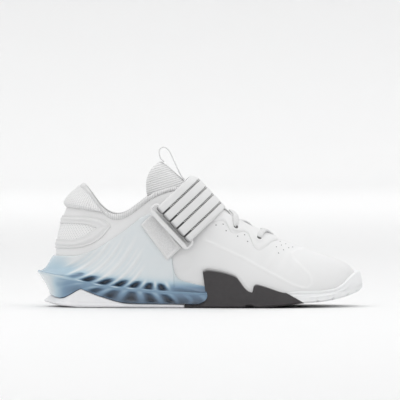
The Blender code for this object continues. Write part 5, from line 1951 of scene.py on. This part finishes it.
def dress_ring_tab(tape, thread):
    """The sewn tab that holds the ring: a rim round a stippled panel, with a stitched border."""
    def place(t, s, offset):
        rise = TAB_RISE - TAB_LENGTH * t - TAB_SKEW * TAB_WIDTH * s
        at = strap_place(TAB_WIDTH * s, 0, rise)
        low, facing = side_point(at[0], at[2], -1, CLIP_WALL + 4 * GAP)
        return low + facing * offset, facing

    def bulge(t):
        return TAB_THICK * (0.62 + 0.38 * math.sin(math.pi * t))

    def edge_places(count, inset):
        return [0.0, inset * 0.3, inset, *spaced(inset * 1.6, 1 - inset * 1.6, count), 1 - inset,
                1 - inset * 0.3, 1.0]

    rows, panel = [], []
    for t in edge_places(26, 0.03):
        row, marks = [], []
        for s01 in edge_places(44, 0.012):
            to_edge = min(t, 1 - t) * TAB_LENGTH, min(s01, 1 - s01) * TAB_WIDTH
            away = min(to_edge)
            roll = math.sqrt(soft_step(away, -0.0002, 0.0009))
            sunk = soft_step(away, 0.0022, 0.0031)
            thick = bulge(t) * (0.25 + 0.75 * roll) - PANEL_SUNK * sunk
            row.append(place(t, s01 - 0.5, thick)[0])
            marks.append(sunk * (1.0 - 0.45 * t))
        row += [place(t, s, -0.0001)[0] for s in (0.5, 0.0, -0.5)]
        marks += [0.0] * 3
        rows.append(row)
        panel.append(marks)
    obj = grid_piece("ring_holder", rows, [tape], closed=True, caps=(True, True), angle=60,
                     paint={"panel": panel})
    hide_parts("ring_tab")

    inset_t, inset_s = BORDER_INSET / TAB_LENGTH, BORDER_INSET / TAB_WIDTH
    corners = ((inset_t, inset_s - 0.5), (inset_t, 0.5 - inset_s), (1 - inset_t, 0.5 - inset_s),
               (1 - inset_t, inset_s - 0.5), (inset_t, inset_s - 0.5))
    line, ups = [], []
    for (t0, s0), (t1, s1) in zip(corners, corners[1:]):
        for step in spaced(0, 1, 20)[:-1]:
            t, s = t0 + (t1 - t0) * step, s0 + (s1 - s0) * step
            point, facing = place(t, s, bulge(t) - 0.00005)
            line.append(point)
            ups.append(facing)
    parts = stitch_parts(line, ups, length=0.0015, gap=0.0006, half=0.0002)
    stitches = joined("tab_stitches", parts, [thread], angle=80)


# Laces

# The eyelets seen on the photographed side, in millimetres, and the hidden pair under the strap
EYELETS = in_metres(((54.5, 64.2), (32.8, 74.4)))
HIDDEN_EYELET = (8.72, 0.92)
# Where each bar passes the facing's edge, as x, and the (x, z) of its top over the middle
BAR_EDGES = (0.0600, 0.0318)
BAR_TOPS = in_metres(((66.0, 68.8), (29.2, 89.8)))
LACE_HALF = 0.0027
# How high the two crossing laces of a row lie over the tongue, on the outer and inner side
CROSS_LIFTS = {-1: 0.0010, 1: 0.0030}
# How far below its lace an eyelet's middle is, and its radius
EYELET_DROP = 0.006
EYELET_RADIUS = 0.0029


def eyelet_places(side):
    """(u, v) of one side's three eyelets, from the front."""
    places = [find_place(x, z, side) for x, z in EYELETS]
    u, v = HIDDEN_EYELET
    return [*places, (on_side(u, side), v)]


@functools.lru_cache(maxsize=None)
def tongue_tree():
    """A search tree of the tongue's outer face."""
    grid = dense_grid(tongue_grid(), 80, 30)
    points = [Vector(p) for row in grid for p in row]
    return BVHTree.FromPolygons(points, quads(*grid.shape[:2]))


def tongue_height(x, y, otherwise):
    """The height of the tongue at (x, y), or the height given where there is no tongue."""
    hit = tongue_tree().ray_cast(Vector((x, y, 0.25)), Vector((0, 0, -1)))[0]
    return hit.z if hit else otherwise


def edge_station(x, side):
    """The station whose top edge is at x."""
    k = halve(8.0, 13.0, 22, lambda k: section(on_side(k, side), 1.0)[0] < x)
    return on_side(k, side)


def bar_path(row):
    """A lace out of one eyelet, over the facings and the tongue, and into the eyelet opposite."""
    lift = GAP + EYESTAY_THICK + LACE_THICK / 2
    ends = []
    for side in (-1, 1):
        u, v = eyelet_places(side)[row]
        edge = edge_station(BAR_EDGES[row], side)
        over = [
            shell(u + t * (edge - u), v + t * (1 - v), lift * share)
            for t, share in ((0.12, 0.6), (0.5, 1.0))
        ]
        into = shell(u, v - EYELET_DROP, -0.0006)
        ends.append([into, *over, shell(edge, 0.995, lift + GAP)])
    x, z = BAR_TOPS[row]
    floor = tongue_height(x, 0.0, 0.0) + LACE_THICK / 2
    middle = np.array((x, 0.0, max(z - LACE_THICK / 2, floor)))
    return resample([*ends[0], middle, *ends[1][::-1]], 64)


def cross_path(row, side):
    """A lace from under one facing, over the tongue, to under the other facing's next eyelet."""
    start = section(eyelet_places(side)[row][0], 1.0)
    end = section(eyelet_places(-side)[row + 1][0], 1.0)
    points = []
    for t in spaced(-0.06, 1.06, 12):
        x, y = (start + (end - start) * t)[:2]
        flat = start[2] + (end[2] - start[2]) * t
        lift = LACE_THICK / 2 + CROSS_LIFTS[side] * bell(t - 0.5, 0.3)
        points.append(np.array((x, y, tongue_height(x, y, flat - 0.003) + lift)))
    return resample(points, 56)


def dress_laces(lace, rim, dark):
    """Flat laces through their eyelets, and the eyelets' rims with painted shadow in their middles.
    """
    facing = np.array((0.35, 0.0, 0.94))
    paths = [bar_path(0), bar_path(1)]
    paths += [cross_path(row, side) for row in (0, 1) for side in (-1, 1)]
    for number, points in enumerate(paths):
        rows = tube_rows(points, facing, LACE_HALF, LACE_THICK / 2, 14, 1.7, 0.03)
        obj = grid_piece(f"lace_{number + 1}", rows, [lace], closed=True, caps=(True, True),
                         angle=80)
        if not number:
            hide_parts("laces")
    eyelets = []
    for side in (-1, 1):
        for u, v in eyelet_places(side):
            point = shell(u, v - EYELET_DROP, GAP + EYESTAY_THICK + 0.00006)
            eyelets.append(dimple_parts(point, normal(u, v), EYELET_RADIUS))
    obj = joined("eyelets", eyelets, [rim, dark], angle=60)
    darken_cups(obj)


# Stage

VIEW_HEIGHT = 0.0990
VIEW_WIDTH = 0.372
CAMERA_DISTANCE = 5.0
CAMERA_RAISE = math.radians(1.2)
SENSOR_WIDTH = 36.0

# A round bowl: its flat floor, the sweep up to its wall, and the wall's top
STAGE_RADIUS = 6.0
STAGE_SWEEP = 1.2
STAGE_HEIGHT = 7.0
STAGE_SIDES = 128


def make_stage():
    """A pale floor that curves up all round into a backdrop, a little greyer higher up: painted
    shade for the light falling off up the wall.
    """
    floor_white = surface("stage_white", grey(0.90), grey(0.89), (0.6, 0.65), cloud=0.6)
    tree = floor_white.node_tree
    rise = node(tree, "SeparateXYZ", i0=node(tree, "TexCoord").outputs["Object"]).outputs[2]
    # Painted shade: greyer higher up the wall
    wall_shade = node(tree, "MapRange", i0=rise, i1=0.03, i2=0.42, i3=0.12, i4=0.40).outputs[0]
    over_colour(floor_white, wall_shade, grey(0.60))
    profile = [(1.5, 0.0), (3.0, 0.0), (STAGE_RADIUS, 0.0)]
    profile += [
        (STAGE_RADIUS + STAGE_SWEEP * math.sin(a), STAGE_SWEEP * (1 - math.cos(a)))
        for a in (math.radians(6 * n) for n in range(1, 16))
    ]
    profile.append((STAGE_RADIUS + STAGE_SWEEP, STAGE_HEIGHT))
    angles = [2 * math.pi * i / STAGE_SIDES for i in range(STAGE_SIDES)]
    points = [
        (r * math.cos(a), r * math.sin(a), z - GAP) for r, z in profile for a in angles
    ]
    faces = [tuple(range(STAGE_SIDES))]
    faces += [face[::-1] for face in quads(len(profile), STAGE_SIDES, closed=True)]
    mesh = bpy.data.meshes.new("backdrop")
    mesh.from_pydata(points, [], faces)
    mesh.shade_smooth()
    mesh.materials.append(floor_white)
    obj = bpy.data.objects.new("backdrop", mesh)
    bpy.context.scene.collection.objects.link(obj)


# Each area light: its name, where it hangs, what it points at, its size and its watts
LIGHTS = (
    ("ceiling", (0.0, 0.5, 5.6), (0.0, 0.5, 0.0), (13.0, 13.0), 415.0),
    ("top", (0.0, -0.1, 1.3), (0.0, 0.0, 0.05), (1.6, 1.2), 2.3),
    ("front", (-0.5, -1.5, 0.75), (0.0, 0.0, 0.08), (1.1, 0.7), 0.8),
    ("rear_side", (-1.2, -0.3, 0.9), (-0.08, 0.0, 0.06), (0.8, 0.8), 0.9),
    ("toe_side", (1.3, -0.5, 0.7), (0.05, 0.0, 0.05), (0.7, 0.7), 0.9),
    ("backdrop", (0.0, 4.0, 2.6), (0.0, 6.6, 0.2), (6.0, 1.6), 30.0),
)
SKY_COLOUR = (0.99, 0.995, 1.0, 1)
SKY_STRENGTH = 0.44


def area_light(name, place, target, size, power):
    """A rectangular light that points from its place to its target."""
    light = bpy.data.lights.new(name, "AREA")
    light.shape = "RECTANGLE"
    light.size, light.size_y = size
    light.energy = power
    obj = bpy.data.objects.new(name, light)
    obj.location = place
    obj.rotation_euler = (Vector(target) - Vector(place)).to_track_quat("-Z", "Y").to_euler()
    bpy.context.scene.collection.objects.link(obj)


def make_lights_and_camera():
    """The even light of a studio, and a long lens from the shoe's outer side."""
    scene = bpy.context.scene
    scene.view_settings.view_transform = "Standard"
    world = bpy.data.worlds.new("studio")
    world.use_nodes = True
    sky = world.node_tree.nodes["Background"]
    sky.inputs["Color"].default_value = SKY_COLOUR
    sky.inputs["Strength"].default_value = SKY_STRENGTH
    scene.world = world
    for light in LIGHTS:
        area_light(*light)

    camera = bpy.data.cameras.new("camera")
    camera.sensor_width = SENSOR_WIDTH
    camera.lens = SENSOR_WIDTH * CAMERA_DISTANCE / VIEW_WIDTH
    camera.clip_end = 40.0
    obj = bpy.data.objects.new("camera", camera)
    target = Vector((0.0, -0.01, VIEW_HEIGHT))
    away = Vector((0.0, -math.cos(CAMERA_RAISE), math.sin(CAMERA_RAISE)))
    obj.location = target + away * CAMERA_DISTANCE
    obj.rotation_euler = (-away).to_track_quat("-Z", "Y").to_euler()
    scene.collection.objects.link(obj)
    scene.camera = obj


def read_paint(tree, name):
    """The value that the mesh holds under this name."""
    return node(tree, "Attribute", {"attribute_name": name}).outputs["Fac"]


def over_colour(material, factor, colour):
    """Lays a colour over the material's own where factor is 1."""
    tree = material.node_tree
    shader = tree.nodes["Principled BSDF"]
    under = shader.inputs["Base Color"].links[0].from_socket
    mixed = node(tree, "Mix", {"data_type": "RGBA"}, i0=factor, i6=under, i7=(*colour, 1))
    tree.links.new(mixed.outputs[2], shader.inputs["Base Color"])


def paint_over(material, name, share, tone):
    """Lays that share of a grey over the material wherever the mesh's painted value is 1."""
    tree = material.node_tree
    over_colour(material, calculate(tree, "MULTIPLY", read_paint(tree, name), share), grey(tone))


def paint_panel(material):
    """The stippled panel of the tab that holds the ring."""
    tree = material.node_tree
    dots = ramp(tree, object_noise(tree, 900, 2.0), ((0.40, grey(1.0)), (0.60, grey(0.25))))
    factor = calculate(tree, "MULTIPLY", read_paint(tree, "panel"), dots)
    over_colour(material, calculate(tree, "MULTIPLY", factor, 0.36), grey(0.45))


# The clear heel's colour from its pale wing to the dark of its pockets: its blue tint, with painted
# shade and painted highlights
CLEAR_TONES = (
    (0.00, (0.76, 0.785, 0.795)), (0.12, (0.66, 0.725, 0.755)), (0.30, (0.44, 0.585, 0.675)),
    (0.52, (0.19, 0.31, 0.44)), (0.75, (0.090, 0.142, 0.210)), (1.00, (0.020, 0.030, 0.047)),
)


def clear_material():
    """Pale blue clear plastic, coloured by its painted value: its blue tint, with painted shade and
    painted highlights.
    """
    made = surface("clear_blue_plastic", grey(1.0), grey(0.95), (0.16, 0.24), fine_speckle(700),
                   depth=0.00003, strength=0.15, Coat_Weight=0.55, Coat_Roughness=0.08,
                   Transmission_Weight=0.03, IOR=1.45)
    tree = made.node_tree
    shader = tree.nodes["Principled BSDF"]
    # depth holds the blue tint with painted shade in the pockets and painted highlights on the
    # ribs, crest and top edge
    depth = read_paint(tree, "depth")
    noise = calculate(tree, "MULTIPLY", object_noise(tree, 60, 2.0), 0.06)
    cloud = calculate(tree, "SUBTRACT", noise, 0.03)
    tone = ramp(tree, calculate(tree, "ADD", depth, cloud, True), CLEAR_TONES)
    tree.links.new(tone, shader.inputs["Base Color"])
    return made


# Each finish: light and dark tone, least and most roughness, relief, and what surface is told
FINISHES = {
    "smooth_leather": (
        0.80, 0.77, (0.42, 0.52), leather_grain(900), {"depth": 0.00008, "strength": 0.35}),
    "lining_cloth": (
        0.72, 0.68, (0.85, 0.95), plain_weave(1.1), {"depth": 0.0002, "shade": 0.2}),
    "rib_knit": (
        0.87, 0.84, (0.85, 0.95), rib_knit(2.3, 1.7, 0.6),
        {"depth": 0.0006, "strength": 0.8, "shade": 0.50, "shade_to": 1.1, "Sheen_Weight": 0.2}),
    "band_knit": (
        0.82, 0.78, (0.85, 0.95), rib_knit(2.1, 1.1, 0.5),
        {"depth": 0.0005, "strength": 0.8, "shade": 0.52, "shade_to": 1.1, "Sheen_Weight": 0.2}),
    "tongue_knit": (
        0.87, 0.85, (0.85, 0.95), slanted_knit(KNIT_PITCH, KNIT_SLANT, 0.0012),
        {"depth": 0.0005, "strength": 0.7, "shade": 0.34, "shade_to": 1.0, "Sheen_Weight": 0.2}),
    "open_mesh": (
        0.85, 0.82, (0.8, 0.9), open_mesh(2.9), {"depth": 0.0006, "shade": 0.62}),
    "satin_moulding": (
        0.74, 0.71, (0.34, 0.42), fine_speckle(1500), {"depth": 0.00004, "strength": 0.2}),
    "hole_shadow": (
        0.16, 0.11, (0.9, 0.95), fine_speckle(2500), {"depth": 0.0001}),
    "white_rubber": (
        (0.90, 0.90, 0.91), (0.87, 0.87, 0.885), (0.34, 0.46), fine_speckle(1800),
        {"depth": 0.00002, "strength": 0.10}),
    "toe_rubber": (
        (0.86, 0.865, 0.87), (0.835, 0.845, 0.85), (0.44, 0.52), fine_speckle(1800),
        {"depth": 0.00002, "strength": 0.08}),
    "dark_rubber_grain": (
        (0.046, 0.042, 0.044), (0.038, 0.036, 0.038), (0.55, 0.68), fine_speckle(2400),
        {"depth": 0.00008, "strength": 0.4}),
    "midsole_foam": (
        0.76, 0.72, (0.6, 0.7), leather_grain(1400), {"depth": 0.0001, "strength": 0.4}),
    "sockliner_cloth": (
        0.66, 0.60, (0.85, 0.95), plain_weave(1.3), {"depth": 0.0003, "shade": 0.3}),
    "strap_weave": (
        0.80, 0.77, (0.75, 0.88), plain_weave(0.9),
        {"depth": 0.00022, "shade": 0.12, "Sheen_Weight": 0.15}),
    "tape_weave": (
        0.85, 0.82, (0.7, 0.85), plain_weave(1.1), {"depth": 0.0003, "shade": 0.25}),
    "lace_weave": (
        0.80, 0.76, (0.8, 0.9), plain_weave(1.0), {"depth": 0.0003, "shade": 0.2}),
    "white_thread": (
        0.78, 0.72, (0.7, 0.8), fine_speckle(3000), {"depth": 0.0001}),
    "moulded_plastic": (
        0.80, 0.77, (0.25, 0.34), fine_speckle(1500), {"depth": 0.00003, "strength": 0.2}),
}


def make_finishes():
    """Every material but the clear heel's and the stage's, by name."""
    made = {}
    for name, (light, dark, rough, relief, settings) in FINISHES.items():
        tones = [grey(tone) if isinstance(tone, float) else tone for tone in (light, dark)]
        made[name] = surface(name, *tones, rough, relief, **settings)
    # Painted highlight: a lighter grey along the leather's raised lines
    paint_over(made["smooth_leather"], "line", 0.55, 0.90)
    # Painted highlight: a lighter grey along the top edge of the dark rubber's wings
    paint_over(made["dark_rubber_grain"], "rim", 1.0, 0.42)
    # Dark in the channels and their dots, and painted shadow on the strap's fold round the ring's
    # bar
    paint_over(made["strap_weave"], "channel", 0.97, 0.030)
    paint_panel(made["tape_weave"])
    return made


def main():
    make_lights_and_camera()
    make_stage()
    made = make_finishes()
    leather, hole = made["smooth_leather"], made["hole_shadow"]
    tape, thread = made["tape_weave"], made["white_thread"]
    dress_upper(leather, made["lining_cloth"])
    dress_holes(leather, hole)
    dress_heel_tab(made["rib_knit"])
    dress_counter(made["satin_moulding"], made["open_mesh"])
    dress_binding(made["band_knit"])
    dress_eyestay(-1, leather)
    dress_eyestay(1, leather)
    dress_heel_tray(made["white_rubber"])
    dress_mid_sole(made["dark_rubber_grain"])
    dress_toe_sole(made["toe_rubber"])
    dress_midsole(made["midsole_foam"])
    dress_insole(made["sockliner_cloth"])
    dress_clip(clear_material())
    dress_tongue(made["tongue_knit"])
    dress_loop(tape)
    dress_strap(made["strap_weave"], thread)
    dress_ring(made["moulded_plastic"])
    dress_ring_tab(tape, thread)
    dress_laces(made["lace_weave"], leather, hole)


main()
